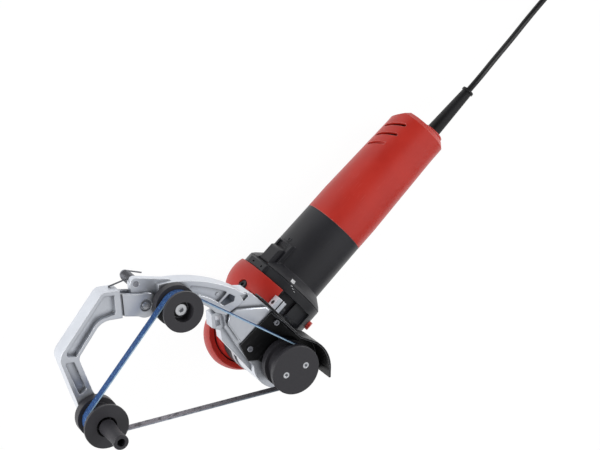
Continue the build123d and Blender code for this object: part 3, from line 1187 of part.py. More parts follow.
with BuildPart() as hinge_pin:
    post(HINGE, HINGE_PIN_R, ARM_BACK + EAR_SET_BACK - 0.5, ARM_FRONT - EAR_SET_BACK + 0.5)

with BuildPart() as spring_pin:
    spring_top = WEB_BOTTOM - SPRING_WIRE / 2 - 0.6
    spring_bottom = spring_top - SPRING_PITCH * (SPRING_TURNS + 1 / 12)
    post(SPRING, SPRING_PIN_R, spring_bottom - 2.5, WEB_TOP)
    post(SPRING, SPRING_PIN_R + 1.8, spring_bottom - 3.5, spring_bottom - 2)


def biarc(start, start_way, end, end_way):
    """Two arcs that join two points along given directions."""
    span = end - start
    both = start_way + end_way
    bend = 2 * (1 - start_way.dot(end_way))
    reach = span.dot(both)
    if bend < 1e-9:
        leg = span.dot(span) / (2 * reach)
    else:
        leg = (sqrt(reach * reach + bend * span.dot(span)) - reach) / bend
    joint = (start + end + (start_way - end_way) * leg) * 0.5
    chord = joint - start
    joint_way = chord * (2 * chord.dot(start_way) / chord.dot(chord)) - start_way
    TangentArc(start, joint, tangent=start_way)
    TangentArc(joint, end, tangent=joint_way)


def self_gap(path, diameter, apart):
    """Least gap between stretches of a tube that lie further apart along it than a distance."""
    points = []
    travelled = 0.0
    for edge in path.edges():
        steps = max(2, int(edge.length / 2.0))
        for step in range(steps):
            spot = edge @ (step / steps)
            points.append((travelled + edge.length * step / steps, spot.X, spot.Y, spot.Z))
        travelled += edge.length
    least = 1e9
    for number, (s, x, y, z) in enumerate(points):
        for t, u, v, w in points[number + 1:]:
            if t - s > apart:
                least = min(least, (x - u) ** 2 + (y - v) ** 2 + (z - w) ** 2)
    return sqrt(least) - diameter


# Tension spring: a coil on the pin with one leg on each arm
SPRING_START = 30.0
SPRING_END = 60.0
LEG_TO_BRACKET = 17.0
LEG_TO_ARM = 26.0


def spring_place(turn):
    """Point and direction on the spring's coil."""
    rise = SPRING_PITCH * (turn - SPRING_START) / 360
    side = radians(turn)
    place = Vector(SPRING[0] + SPRING_R * cos(side), SPRING[1] + SPRING_R * sin(side), spring_bottom + rise)
    way = Vector(-SPRING_R * sin(side), SPRING_R * cos(side), SPRING_PITCH / (2 * pi)).normalized()
    return place, way


with BuildPart() as tension_spring:
    with BuildLine() as spring_path:
        last = SPRING_END + 360 * SPRING_TURNS
        steps = 4 * SPRING_TURNS + 1
        first_place, first_way = spring_place(SPRING_START)
        Line(first_place - first_way * LEG_TO_BRACKET, first_place)
        for step in range(steps):
            here = spring_place(SPRING_START + (last - SPRING_START) * step / steps)
            there = spring_place(SPRING_START + (last - SPRING_START) * (step + 1) / steps)
            biarc(*here, *there)
        end_place, end_way = spring_place(last)
        Line(end_place, end_place + end_way * LEG_TO_ARM)
    with BuildSketch(Plane(first_place - first_way * LEG_TO_BRACKET, z_dir=first_way)):
        Circle(SPRING_WIRE / 2)
    sweep()
print("spring gap", round(self_gap(spring_path, SPRING_WIRE, 10), 2))


def cord_radii(route):
    """Corner radii as large as the runs beside each corner allow."""
    radii = []
    for before, here, after in zip(route, route[1:], route[2:]):
        arrive = Vector(*here) - Vector(*before)
        leave = Vector(*after) - Vector(*here)
        half = radians(arrive.get_angle(leave)) / 2
        radii.append(0.45 * min(arrive.length, leave.length) / tan(half))
    return radii


def cord_tube(route):
    """A round tube along straight runs joined by arcs."""
    radii = cord_radii(route)
    with BuildLine() as line:
        FilletPolyline(*route, radius=radii)
    with BuildSketch(Plane(route[0], z_dir=Vector(*route[1]) - Vector(*route[0]))) as section_shape:
        Circle(CORD_R)
    sweep(section_shape.sketch, path=line.wire())
    print("cord radii", [round(radius) for radius in radii], "length", round(line.wire().length, 1))
    return line.wire().length


with BuildPart() as mains_cord:
    cord_length = cord_tube(CORD_ROUTE)
print("cord volume share", round(mains_cord.part.volume / (pi * CORD_R ** 2 * cord_length), 4))

with BuildPart() as cord_tail:
    tail_length = cord_tube(TAIL_ROUTE)
print("tail volume share", round(cord_tail.part.volume / (pi * CORD_R ** 2 * tail_length), 4))


def coil_place(turns):
    """A point of the coil: spirals in and out, climbing a layer in the half turn where it reverses."""
    layer = int(turns / COIL_LAYER_TURNS)
    along = turns - layer * COIL_LAYER_TURNS
    inwards = along if layer % 2 == 0 else COIL_LAYER_TURNS - along
    radius = COIL_R - COIL_PITCH * inwards
    height = COIL_REST
    for climb in range(1, COIL_LAYERS):
        share = min(1, max(0, (turns - climb * COIL_LAYER_TURNS + 0.25) / 0.5))
        height += COIL_PITCH * (1 - cos(pi * share)) / 2
    side = 2 * pi * turns - pi / 2
    return Vector(COIL_CENTRE[0] + radius * cos(side), COIL_CENTRE[1] + radius * sin(side), height)


coil_turns = COIL_LAYERS * COIL_LAYER_TURNS


def coil_way(turns):
    """Direction of the coil at a point."""
    if turns <= 0:
        return Vector(1, 0, 0)
    if turns >= coil_turns:
        return Vector(0, 1, 0)
    return (coil_place(turns + 0.002) - coil_place(turns - 0.002)).normalized()


with BuildPart() as cord_coil:
    with BuildLine() as coil_path:
        steps = round(4 * coil_turns)
        nodes = [coil_turns * step / steps for step in range(steps + 1)]
        coil_start = coil_place(0)
        Line(coil_start - Vector(2 * CORD_R, 0, 0), coil_start)
        for here, there in zip(nodes, nodes[1:]):
            biarc(coil_place(here), coil_way(here), coil_place(there), coil_way(there))
        coil_end = coil_place(coil_turns - 1e-9)
        Line(coil_end, coil_end + Vector(0, 2 * CORD_R, 0))
    with BuildSketch(Plane(coil_start - Vector(2 * CORD_R, 0, 0), z_dir=(1, 0, 0))):
        Circle(CORD_R)
    sweep()
print("coil gap", round(self_gap(coil_path, 2 * CORD_R, 60), 2), "length", round(coil_path.wire().length))

with BuildPart() as coil_tie:
    way = radians(TIE_ANGLE)
    inner = COIL_R - COIL_PITCH * COIL_LAYER_TURNS - CORD_R - TIE_ROOM
    outer = COIL_R + CORD_R + TIE_ROOM
    height = COIL_REST + COIL_PITCH * (COIL_LAYERS - 1) + CORD_R + GAP
    frame = Plane((*COIL_CENTRE, 0), x_dir=(cos(way), sin(way), 0), z_dir=(0, 0, 1))
    with BuildSketch(frame):
        with Locations(((inner + outer) / 2, 0)):
            Rectangle(outer - inner + 2 * TIE_T, TIE_WIDTH)
    extrude(amount=height + TIE_T)
    with BuildSketch(frame.offset(TIE_T)):
        with Locations(((inner + outer) / 2, 0)):
            Rectangle(outer - inner, TIE_WIDTH + 1)
    extrude(amount=height - TIE_T, mode=Mode.SUBTRACT)

# Mains plug lying beside the coil
PLUG_T = 24.0
PLUG_WIDTH = 36.0
PLUG_LENGTH = 38.0
PIN_SPACING = 19.0
with BuildPart() as mains_plug:
    plug_x, plug_y, plug_z = TAIL_ROUTE[-1]
    with BuildSketch(Plane((plug_x, plug_y, plug_z), x_dir=(1, 0, 0), z_dir=(0, 1, 0))):
        Circle(CORD_R + 1.5)
    with BuildSketch(Plane((plug_x, plug_y + 16, plug_z), x_dir=(1, 0, 0), z_dir=(0, 1, 0))):
        Circle(CORD_R + 3)
    loft()
    with BuildSketch(Plane((plug_x, plug_y + 16, plug_z), x_dir=(1, 0, 0), z_dir=(0, 1, 0))):
        RectangleRounded(PLUG_WIDTH - 12, PLUG_T - 6, 8)
    with BuildSketch(Plane((plug_x, plug_y + 28, plug_z), x_dir=(1, 0, 0), z_dir=(0, 1, 0))) as plug_front:
        RectangleRounded(PLUG_WIDTH, PLUG_T, 10)
    loft()
    extrude(plug_front.sketch, amount=PLUG_LENGTH - 12)
    for side in (-1, 1):
        plug_end = plug_y + 16 + PLUG_LENGTH
        bar_y(plug_x + side * PIN_SPACING / 2, plug_z, 2.4, plug_end, plug_end + 19)

pieces = {
    "motor_housing": motor_housing,
    "front_sleeve": front_sleeve,
    "gear_case": gear_case,
    "case_screws": case_screws,
    "grip_hood": grip_hood,
    "hood_screws": hood_screws,
    "bearing_flange": bearing_flange,
    "flange_screws": flange_screws,
    "spindle_bearing": spindle_bearing,
    "tail_bush": tail_bush,
    "spindle": spindle,
    "crown_gear": crown_gear,
    "pinion": pinion,
    "armature_shaft": armature_shaft,
    "armature_core": armature_core,
    "armature_windings": armature_windings,
    "commutator": commutator,
    "cooling_fan": cooling_fan,
    "front_motor_bearing": front_motor_bearing,
    "rear_motor_bearing": rear_motor_bearing,
    "stator_core": stator_core,
    "field_coils": field_coils,
    "air_baffle": air_baffle,
    "bearing_bridge": bearing_bridge,
    "brush_holders": brush_holders,
    "carbon_brushes": carbon_brushes,
    "brush_springs": brush_springs,
    "mains_switch": mains_switch,
    "control_module": control_module,
    "cord_clamp": cord_clamp,
    "strain_relief": strain_relief,
    "slide_button": slide_button,
    "switch_rod": switch_rod,
    "lock_button": lock_button,
    "lock_spring": lock_spring,
    "drive_roller": drive_roller,
    "drive_disc": drive_disc,
    "disc_screws": disc_screw_pair,
    "idler_roller": idler_roller,
    "idler_bearings": idler_bearings,
    "idler_axle": idler_axle,
    "tip_roller": tip_roller,
    "tip_bearings": tip_bearings,
    "tip_axle": tip_axle,
    "grip_stub": grip_stub,
    "sanding_belt": sanding_belt,
    "arm_bracket": arm_bracket,
    "clamp_screw": clamp_screw,
    "guard_sheet": guard_sheet,
    "guard_screws": guard_screws,
    "outer_arm": outer_arm,
    "hinge_pin": hinge_pin,
    "spring_pin": spring_pin,
    "tension_spring": tension_spring,
    "mains_cord": mains_cord,
    "cord_coil": cord_coil,
    "cord_tail": cord_tail,
    "coil_tie": coil_tie,
    "mains_plug": mains_plug,
}

os.makedirs("parts", exist_ok=True)
for name, piece in pieces.items():
    piece.part.label = name
    export_step(piece.part, f"parts/{name}.step")
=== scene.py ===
from math import cos, pi, radians, sin

import bmesh
import bpy
from mathutils import Matrix, Vector


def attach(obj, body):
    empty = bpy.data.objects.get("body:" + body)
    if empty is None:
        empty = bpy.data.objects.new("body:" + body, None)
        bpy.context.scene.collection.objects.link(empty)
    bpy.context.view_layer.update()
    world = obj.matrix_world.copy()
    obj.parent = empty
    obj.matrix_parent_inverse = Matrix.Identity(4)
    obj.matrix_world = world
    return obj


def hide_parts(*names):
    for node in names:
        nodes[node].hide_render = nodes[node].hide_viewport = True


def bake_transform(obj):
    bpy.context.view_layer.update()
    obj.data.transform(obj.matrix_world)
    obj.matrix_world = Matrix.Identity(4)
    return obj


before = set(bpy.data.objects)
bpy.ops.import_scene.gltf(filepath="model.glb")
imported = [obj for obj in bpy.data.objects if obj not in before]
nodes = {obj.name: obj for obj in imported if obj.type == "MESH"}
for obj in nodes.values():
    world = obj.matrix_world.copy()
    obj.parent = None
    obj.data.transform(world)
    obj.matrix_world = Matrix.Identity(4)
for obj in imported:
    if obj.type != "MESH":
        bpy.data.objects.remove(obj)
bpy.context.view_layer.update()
scene = bpy.context.scene
scene.view_settings.view_transform = "Standard"

MM = 0.001
AXIS_HEIGHT = 38.0   # barrel axis above the floor, in millimetres like every size that goes with MM

# Camera: standing over the roller side, looking down on the tool

PHOTO_RIGHT = Vector((0.65855, -0.59079, 0.46613))
PHOTO_UP = Vector((0.74396, 0.60436, -0.28508))
PHOTO_AHEAD = Vector((0.11328, -0.53452, -0.83753))
PHOTO_STAND = Vector((-0.0617, 0.9230, 1.4292))
LENS = 90
SENSOR = 36

camera_data = bpy.data.cameras.new("photo_camera")
camera_data.lens = LENS
camera_data.sensor_width = SENSOR
camera = bpy.data.objects.new("photo_camera", camera_data)
scene.collection.objects.link(camera)
turn = Matrix((PHOTO_RIGHT, PHOTO_UP, -PHOTO_AHEAD)).transposed().to_4x4()
camera.matrix_world = Matrix.Translation(PHOTO_STAND) @ turn
scene.camera = camera


# Bench tools for new pieces

SHARP = 40           # degrees from which an edge stays sharp
DOUBLES = 1e-6       # metres within which two vertices are one


def clear_bench():
    """Nothing selected, object mode."""
    if bpy.context.object and bpy.context.object.mode != "OBJECT":
        bpy.ops.object.mode_set(mode="OBJECT")
    bpy.ops.object.select_all(action="DESELECT")


def start(name):
    """Names the primitive just added."""
    piece = bpy.context.object
    piece.name = name
    piece.data.name = name
    return piece


def open_mesh(piece):
    """Edit mode with nothing selected, for picking by place."""
    bpy.context.view_layer.objects.active = piece
    bpy.ops.object.mode_set(mode="EDIT")
    bpy.ops.mesh.select_all(action="DESELECT")


def pick(piece, kind, wanted):
    """Selects the edges or faces that a test wants."""
    bpy.ops.mesh.select_mode(type={"edges": "EDGE", "faces": "FACE"}[kind])
    bpy.ops.mesh.select_all(action="DESELECT")
    mesh = bmesh.from_edit_mesh(piece.data)
    for part in getattr(mesh, kind):
        if wanted(part):
            part.select_set(True)
    bmesh.update_edit_mesh(piece.data)


def pull(z):
    """Extrudes what is selected upwards, in millimetres."""
    bpy.ops.mesh.extrude_region_move(TRANSFORM_OT_translate={"value": (0, 0, z * MM)})


def close_mesh():
    """Back to object mode with merged doubles and outward faces."""
    bpy.ops.mesh.select_all(action="SELECT")
    bpy.ops.mesh.remove_doubles(threshold=DOUBLES)
    bpy.ops.mesh.normals_make_consistent(inside=False)
    bpy.ops.object.mode_set(mode="OBJECT")


def settle(piece):
    """Puts the piece's place into its mesh."""
    clear_bench()
    piece.select_set(True)
    bpy.context.view_layer.objects.active = piece
    bpy.ops.object.transform_apply(location=True, rotation=True, scale=True)
    return piece


def apply(piece, kind, **settings):
    """Adds one modifier and applies it."""
    bpy.context.view_layer.objects.active = piece
    modifier = piece.modifiers.new(kind.lower(), kind)
    for name, value in settings.items():
        setattr(modifier, name, value)
    bpy.ops.object.modifier_apply(modifier=modifier.name)


def ease_edges(piece, width, segments):
    """Takes the sharp edges off, by a width in millimetres."""
    apply(piece, "BEVEL", width=width * MM, segments=segments, limit_method="ANGLE",
          angle_limit=radians(SHARP))


def smooth(piece, angle=SHARP):
    """Smooth shading that keeps the sharper edges."""
    clear_bench()
    piece.select_set(True)
    bpy.context.view_layer.objects.active = piece
    bpy.ops.object.shade_smooth_by_angle(angle=radians(angle))


def copy_of(piece, name):
    """A copy with its own mesh."""
    twin = piece.copy()
    twin.data = piece.data.copy()
    twin.name = name
    twin.data.name = name
    scene.collection.objects.link(twin)
    return twin


def dress(piece, *finishes):
    """Gives a piece its finishes, in slot order."""
    piece.data.materials.clear()
    for finish in finishes:
        piece.data.materials.append(finish)


# Mains cord: down from the strain relief, four layers of coil, tail to the plug

CORD_R = 3.5
CORD_ROUTE = [
    (372.0, -11.0, 44.0),
    (390.0, -11.0, 44.0),
    (424.0, -17.5, 32.0),
    (460.0, -26.6, 17.4),
    (498.0, -31.6, 6.8),
    (540.0, -32.0, 5.0),
    (578.0, -32.0, 5.0),
]
COIL_CENTRE = (585.0, 23.0)
COIL_R = 55.0
COIL_PITCH = 7.5
COIL_LAYERS = 4
COIL_LAYER_TURNS = 3.5625
COIL_REST = 5.0      # height of the lowest layer
COIL_CLIMB = 0.5     # turns from one layer to the next
COIL_POINTS = 24     # to a turn
TAIL_ROUTE = [
    (640.0, 30.0, 27.5),
    (640.0, 44.0, 27.5),
    (640.5, 63.0, 23.0),
    (641.0, 80.0, 15.5),
    (641.0, 96.0, 12.0),
    (641.0, 110.0, 12.0),
]
TIE_ANGLE = 120.0
TIE_WIDTH = 8.0
TIE_T = 1.2
TIE_ROOM = 0.8       # beside the coil
TIE_LIFT = 0.3       # over the coil
TIE_CORNER = 2.6
TIE_PAD_EDGE = 1.2
TIE_PAD_RISE = 0.5
TIE_EASE = 0.25


def coil_place(turns):
    """A point of the coil, which spirals in and out and climbs a layer where it turns back."""
    layer = int(turns / COIL_LAYER_TURNS)
    along = turns - layer * COIL_LAYER_TURNS
    inwards = along if layer % 2 == 0 else COIL_LAYER_TURNS - along
    radius = COIL_R - COIL_PITCH * inwards
    height = COIL_REST
    for climb in range(1, COIL_LAYERS):
        share = min(1, max(0, (turns - climb * COIL_LAYER_TURNS + COIL_CLIMB / 2) / COIL_CLIMB))
        height += COIL_PITCH * (1 - cos(pi * share)) / 2
    side = 2 * pi * turns - pi / 2
    return (COIL_CENTRE[0] + radius * cos(side), COIL_CENTRE[1] + radius * sin(side), height)


def make_tie():
    """Strap round the coil: a loop with rounded corners and a raised pad on top."""
    inner = COIL_R - COIL_PITCH * COIL_LAYER_TURNS - CORD_R - TIE_ROOM
    outer = COIL_R + CORD_R + TIE_ROOM
    top = COIL_REST + COIL_PITCH * (COIL_LAYERS - 1) + CORD_R + TIE_LIFT
    clear_bench()
    bpy.ops.mesh.primitive_cube_add(size=MM)
    tie = start("cord_strap")
    tie.scale = (outer - inner, TIE_WIDTH, top - TIE_T)
    tie.location = ((outer + inner) / 2 * MM, 0, (top + TIE_T) / 2 * MM)
    settle(tie)
    open_mesh(tie)
    pick(tie, "faces", lambda face: abs(face.normal.y) > 0.9)
    bpy.ops.mesh.delete(type="FACE")
    half = 0.5 * TIE_WIDTH * MM
    pick(tie, "edges", lambda edge: abs(edge.verts[0].co.y - edge.verts[1].co.y) > half)
    bpy.ops.mesh.bevel(offset=TIE_CORNER * MM, segments=5, affect="EDGES")
    close_mesh()
    apply(tie, "SOLIDIFY", thickness=TIE_T * MM, offset=1.0, use_even_offset=True)
    open_mesh(tie)
    pick(tie, "faces", lambda face: face.normal.z > 0.9 and face.calc_center_median().z > top * MM)
    bpy.ops.mesh.inset(thickness=TIE_PAD_EDGE * MM)
    pull(z=TIE_PAD_RISE)
    close_mesh()
    tie.rotation_euler.z = radians(TIE_ANGLE)
    tie.location = (COIL_CENTRE[0] * MM, COIL_CENTRE[1] * MM, 0)
    settle(tie)
    ease_edges(tie, TIE_EASE, 2)
    smooth(tie)
    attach(tie, "grinder")
    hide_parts("coil_tie")
    return tie


def lay_cord():
    """The whole cord as one smooth curve."""
    whole = round(COIL_LAYERS * COIL_LAYER_TURNS * COIL_POINTS)
    last = whole / COIL_POINTS - 1e-9
    coil = [coil_place(min(step / COIL_POINTS, last)) for step in range(whole + 1)]
    route = [*CORD_ROUTE, *coil, *TAIL_ROUTE]
    curve = bpy.data.curves.new("cord", "CURVE")
    curve.dimensions = "3D"
    spline = curve.splines.new("NURBS")
    spline.points.add(len(route) - 1)
    for point, place in zip(spline.points, route):
        point.co = (place[0] * MM, place[1] * MM, place[2] * MM, 1)
        point.radius = CORD_R * MM
    spline.order_u = 3
    spline.use_endpoint_u = True
    spline.resolution_u = 5
    curve.bevel_depth = 1.0
    curve.bevel_resolution = 6
    curve.use_fill_caps = True
    cord = bpy.data.objects.new("cord", curve)
    scene.collection.objects.link(cord)
    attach(cord, "grinder")
    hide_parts("mains_cord", "cord_coil", "cord_tail")
    return cord


strap = make_tie()
cord = lay_cord()


# Shared finish effects

NOISE_ROUGHNESS = 0.55
MIDDLE = (0.3, 0.7)  # the span in which a noise lies mostly


def srgb(*levels):
    """A colour as seen, 0 to 255, as the shader wants it."""
    return (*[((v / 255 + 0.055) / 1.055) ** 2.4 if v > 10 else v / 255 / 12.92 for v in levels], 1)


class Bench:
    """Places and joins nodes in one tree."""

    def __init__(self, tree):
        self.tree = tree

    def node(self, kind, **sockets):
        made = self.tree.nodes.new("ShaderNode" + kind)
        for name, value in sockets.items():
            self.feed(made, name.replace("_", " "), value)
        return made

    def feed(self, made, name, value):
        socket = made.inputs[int(name[1:])] if name[0] == "#" else made.inputs[name]
        if isinstance(value, bpy.types.NodeSocket):
            self.tree.links.new(value, socket)
        else:
            socket.default_value = value

    def math(self, operation, a, b, clamp=False):
        made = self.tree.nodes.new("ShaderNodeMath")
        made.operation = operation
        made.use_clamp = clamp
        self.feed(made, "#0", a)
        self.feed(made, "#1", b)
        return made.outputs[0]

    def times(self, a, b, clamp=False):
        return self.math("MULTIPLY", a, b, clamp)

    def vector(self, operation, a, b=None):
        made = self.tree.nodes.new("ShaderNodeVectorMath")
        made.operation = operation
        self.feed(made, "#0", a)
        if b is not None:
            self.feed(made, "#1", b)
        return made.outputs

    def noise(self, scale, detail, place=None):
        made = self.node("TexNoise", Scale=scale, Detail=detail, Roughness=NOISE_ROUGHNESS)
        self.feed(made, "Vector", place or self.place())
        return made.outputs["Fac"]

    def specks(self, scale):
        return self.node("TexVoronoi", Scale=scale, Vector=self.place()).outputs["Distance"]

    def place(self):
        return self.node("TexCoord").outputs["Object"]

    def stretched(self, scale, turn):
        """Object coordinates turned and stretched."""
        return self.node("Mapping", Vector=self.place(), Rotation=turn, Scale=scale).outputs["Vector"]

    def band(self, value, low, high, to_low=0.0, to_high=1.0):
        made = self.tree.nodes.new("ShaderNodeMapRange")
        levels = (value, low, high, to_low, to_high)
        for name, level in zip(("Value", "From Min", "From Max", "To Min", "To Max"), levels):
            self.feed(made, name, level)
        return made.outputs["Result"]

    def spread(self, noise):
        """A noise stretched to run from nothing to all."""
        return self.band(noise, *MIDDLE)

    def mix(self, share, a, b):
        made = self.tree.nodes.new("ShaderNodeMix")
        made.data_type = "RGBA"
        self.feed(made, "#0", share)
        self.feed(made, "#6", a)
        self.feed(made, "#7", b)
        return made.outputs[2]


def new_group(name, inputs, outputs):
    """A shader node group with its sockets, its bench, and its two ends."""
    group = bpy.data.node_groups.new(name, "ShaderNodeTree")
    for label, kind, value in inputs:
        socket = group.interface.new_socket(label, in_out="INPUT", socket_type="NodeSocket" + kind)
        socket.default_value = value
    for label, kind in outputs:
        group.interface.new_socket(label, in_out="OUTPUT", socket_type="NodeSocket" + kind)
    given = group.nodes.new("NodeGroupInput").outputs
    out = group.nodes.new("NodeGroupOutput")
    return group, Bench(group), given, out


def make_skin_group():
    """Fine moulded or cast skin: a small relief, an uneven gloss and a faint drift of shade."""
    group, bench, given, out = new_group(
        "surface_skin",
        [("Grain", "Float", 900.0), ("Cloud", "Float", 30.0), ("Gloss Low", "Float", 0.4),
         ("Gloss High", "Float", 0.5)],
        [("Height", "Float"), ("Roughness", "Float"), ("Shade", "Float")],
    )
    place = bench.place()
    fine = bench.noise(given["Grain"], 2.0, place)
    cloud = bench.noise(given["Cloud"], 4.0, place)
    both = bench.math("ADD", bench.times(fine, 0.5), bench.times(cloud, 0.5))
    bench.feed(out, "Height", fine)
    bench.feed(out, "Roughness", bench.band(both, 0.35, 0.65, given["Gloss Low"], given["Gloss High"]))
    bench.feed(out, "Shade", cloud)
    return group


def make_edge_group():
    """Softly rounded edges, and a mask of the edges drawn pale: partly worn by handling, partly a painted
    highlight.
    """
    group, bench, given, out = new_group(
        "worked_edges",
        [("Round", "Float", 0.0005), ("Patchy", "Float", 140.0), ("Spread", "Float", 0.5)],
        [("Normal", "Vector"), ("Rubbed", "Float")],
    )
    bevel = bench.node("Bevel", Radius=given["Round"])
    bevel.samples = 6
    flat = bench.node("NewGeometry").outputs["Normal"]
    agree = bench.vector("DOT_PRODUCT", bevel.outputs["Normal"], flat)["Value"]
    edge = bench.band(agree, 0.995, 0.86)
    patches = bench.noise(given["Patchy"], 3.0)
    low = bench.math("SUBTRACT", 0.66, bench.times(given["Spread"], 0.5))
    high = bench.math("ADD", low, 0.2)
    bench.feed(out, "Normal", bevel.outputs["Normal"])
    bench.feed(out, "Rubbed", bench.times(edge, bench.band(patches, low, high), clamp=True))
    return group


def make_ring_group():
    """Fine rings from the lathe about an upright centre line, and the distance from that line."""
    group, bench, given, out = new_group(
        "turned_rings",
        [("Centre", "Vector", (0, 0, 0)), ("Rings", "Float", 2200.0)],
        [("Height", "Float"), ("Shade", "Float"), ("Distance", "Float")],
    )
    shift = bench.vector("SUBTRACT", bench.place(), given["Centre"])["Vector"]
    flat = bench.vector("MULTIPLY", shift, (1, 1, 0))["Vector"]
    distance = bench.vector("LENGTH", flat)["Value"]
    rings = bench.noise(given["Rings"], 2.0, bench.node("CombineXYZ", X=distance).outputs[0])
    bench.feed(out, "Height", rings)
    bench.feed(out, "Shade", bench.spread(rings))
    bench.feed(out, "Distance", distance)
    return group


def make_scuff_group():
    """Thin crossing scuffs that gather in patches."""
    group, bench, given, out = new_group(
        "light_scuffs",
        [("Patches", "Float", 26.0), ("Amount", "Float", 0.5)],
        [("Mask", "Float")],
    )
    lines = []
    for turn in ((0.2, 0.5, 0.9), (0.9, -0.4, -0.7)):
        stroke = bench.noise(1.0, 2.0, bench.stretched((30, 1400, 1400), turn))
        lines.append(bench.band(stroke, 0.66, 0.74))
    crossing = bench.math("MAXIMUM", *lines)
    patches = bench.band(bench.noise(given["Patches"], 3.0), 0.5, 0.68)
    worn = bench.times(crossing, patches)
    bench.feed(out, "Mask", bench.times(worn, given["Amount"], clamp=True))
    return group


def make_crevice_group():
    """Painted shade: a mask of inside corners, where shade gathers."""
    group, bench, given, out = new_group("crevices", [("Reach", "Float", 0.004)], [("Mask", "Float")])
    shade = bench.node("AmbientOcclusion", Distance=given["Reach"])
    shade.samples = 6
    bench.feed(out, "Mask", bench.band(shade.outputs["AO"], 0.9, 0.4))
    return group


skin_group = make_skin_group()
edge_group = make_edge_group()
crevice_group = make_crevice_group()
ring_group = make_ring_group()
scuff_group = make_scuff_group()


# Finishes


class Finish(Bench):
    """One material with its surface shader."""

    def __init__(self, name, **settings):
        self.material = bpy.data.materials.new(name)
        self.material.use_nodes = True
        super().__init__(self.material.node_tree)
        self.shader = self.tree.nodes["Principled BSDF"]
        for label, value in settings.items():
            self.shader.inputs[label.replace("_", " ")].default_value = value

    def group(self, group, **values):
        made = self.tree.nodes.new("ShaderNodeGroup")
        made.node_tree = group
        for label, value in values.items():
            self.feed(made, label.replace("_", " "), value)
        return made.outputs

    def relief(self, height, distance, strength, normal=None):
        bump = self.node("Bump", Strength=strength, Distance=distance, Height=height)
        if normal is not None:
            self.feed(bump, "Normal", normal)
        self.feed(self.shader, "Normal", bump.outputs["Normal"])

    def colour(self, socket):
        self.feed(self.shader, "Base Color", socket)

    def rough(self, socket):
        self.feed(self.shader, "Roughness", socket)


def moulding(name, deep, pale, worn_and_lit, gloss, grain=1100.0, depth=4e-5, rounding=0.0006, shine=0.5,
             pale_edge_spread=0.5):
    """Moulded plastic or paint: fine texture, slight drift of colour, pale edges that are partly worn and
    partly painted highlight, a few scuffs.
    """
    finish = Finish(name, Specular_IOR_Level=shine)
    skin = finish.group(skin_group, Grain=grain, Cloud=24.0, Gloss_Low=gloss[0], Gloss_High=gloss[1])
    edge = finish.group(edge_group, Round=rounding, Spread=pale_edge_spread)
    scuffs = finish.group(scuff_group, Amount=0.3)
    body = finish.mix(finish.spread(skin["Shade"]), deep, pale)
    body = finish.mix(scuffs["Mask"], body, worn_and_lit)
    # Pale edges: partly worn, partly painted highlight.
    finish.colour(finish.mix(finish.times(edge["Rubbed"], 0.6), body, worn_and_lit))
    dulled = finish.times(scuffs["Mask"], 0.2)
    finish.rough(finish.math("ADD", skin["Roughness"], dulled, clamp=True))
    finish.relief(skin["Height"], depth, 0.5, edge["Normal"])
    return finish.material


LINING_R = 0.0336    # outside the neck of the gear case, in metres
LINING_TOP = 0.058
LINING_BACK = -0.004
LINING_EDGE = 0.0002
RINGS = 2200.0       # to a metre
FINE_DEPTH = 3e-5    # of fine relief, in metres


def nose_lining(finish):
    """Mask of the gear case's shoulder that lines the rim of the hood round its nose."""
    marks = finish.group(ring_group, Rings=RINGS)
    parts = finish.node("SeparateXYZ", Vector=finish.place()).outputs
    ahead = finish.band(parts["X"], LINING_BACK + 0.001, LINING_BACK)
    outside = finish.band(marks["Distance"], LINING_R, LINING_R + LINING_EDGE)
    below = finish.band(parts["Z"], LINING_TOP + LINING_EDGE, LINING_TOP)
    return finish.times(finish.times(ahead, outside), below)


# Near black towards which the painted shade in inside corners draws a casting's colour.
PAINTED_SHADE = (0.01, 0.01, 0.012, 1)


def casting(name, deep, pale, worn_and_lit, gloss, metal, grain=520.0, depth=9e-5, rounding=0.0008, shine=0.5,
            lining=None):
    """Bead blasted casting: open grain, cloudy tone, pale edges that are partly worn and partly painted
    highlight, painted shade in inside corners, perhaps a lining.
    """
    finish = Finish(name, Metallic=metal, Specular_IOR_Level=shine)
    skin = finish.group(skin_group, Grain=grain, Cloud=36.0, Gloss_Low=gloss[0], Gloss_High=gloss[1])
    edge = finish.group(edge_group, Round=rounding, Spread=1.2)
    scuffs = finish.group(scuff_group, Amount=0.35)
    pits = finish.band(finish.specks(grain * 1.3), 0.05, 0.45)
    body = finish.mix(finish.spread(skin["Shade"]), deep, pale)
    body = finish.mix(finish.times(pits, 0.22), body, deep)
    body = finish.mix(scuffs["Mask"], body, worn_and_lit)
    # Pale edges: partly worn, partly painted highlight.
    body = finish.mix(finish.times(edge["Rubbed"], 0.9), body, worn_and_lit)
    if lining is not None:
        body = finish.mix(nose_lining(finish), body, lining)
    # Painted shade in inside corners.
    corners = finish.group(crevice_group, Reach=0.005)
    painted_shade = finish.mix(0.72, deep, PAINTED_SHADE)
    finish.colour(finish.mix(finish.times(corners["Mask"], 0.8), body, painted_shade))
    finish.rough(skin["Roughness"])
    rise = finish.math("ADD", skin["Height"], finish.times(pits, 0.6))
    finish.relief(rise, depth, 0.6, edge["Normal"])
    return finish.material


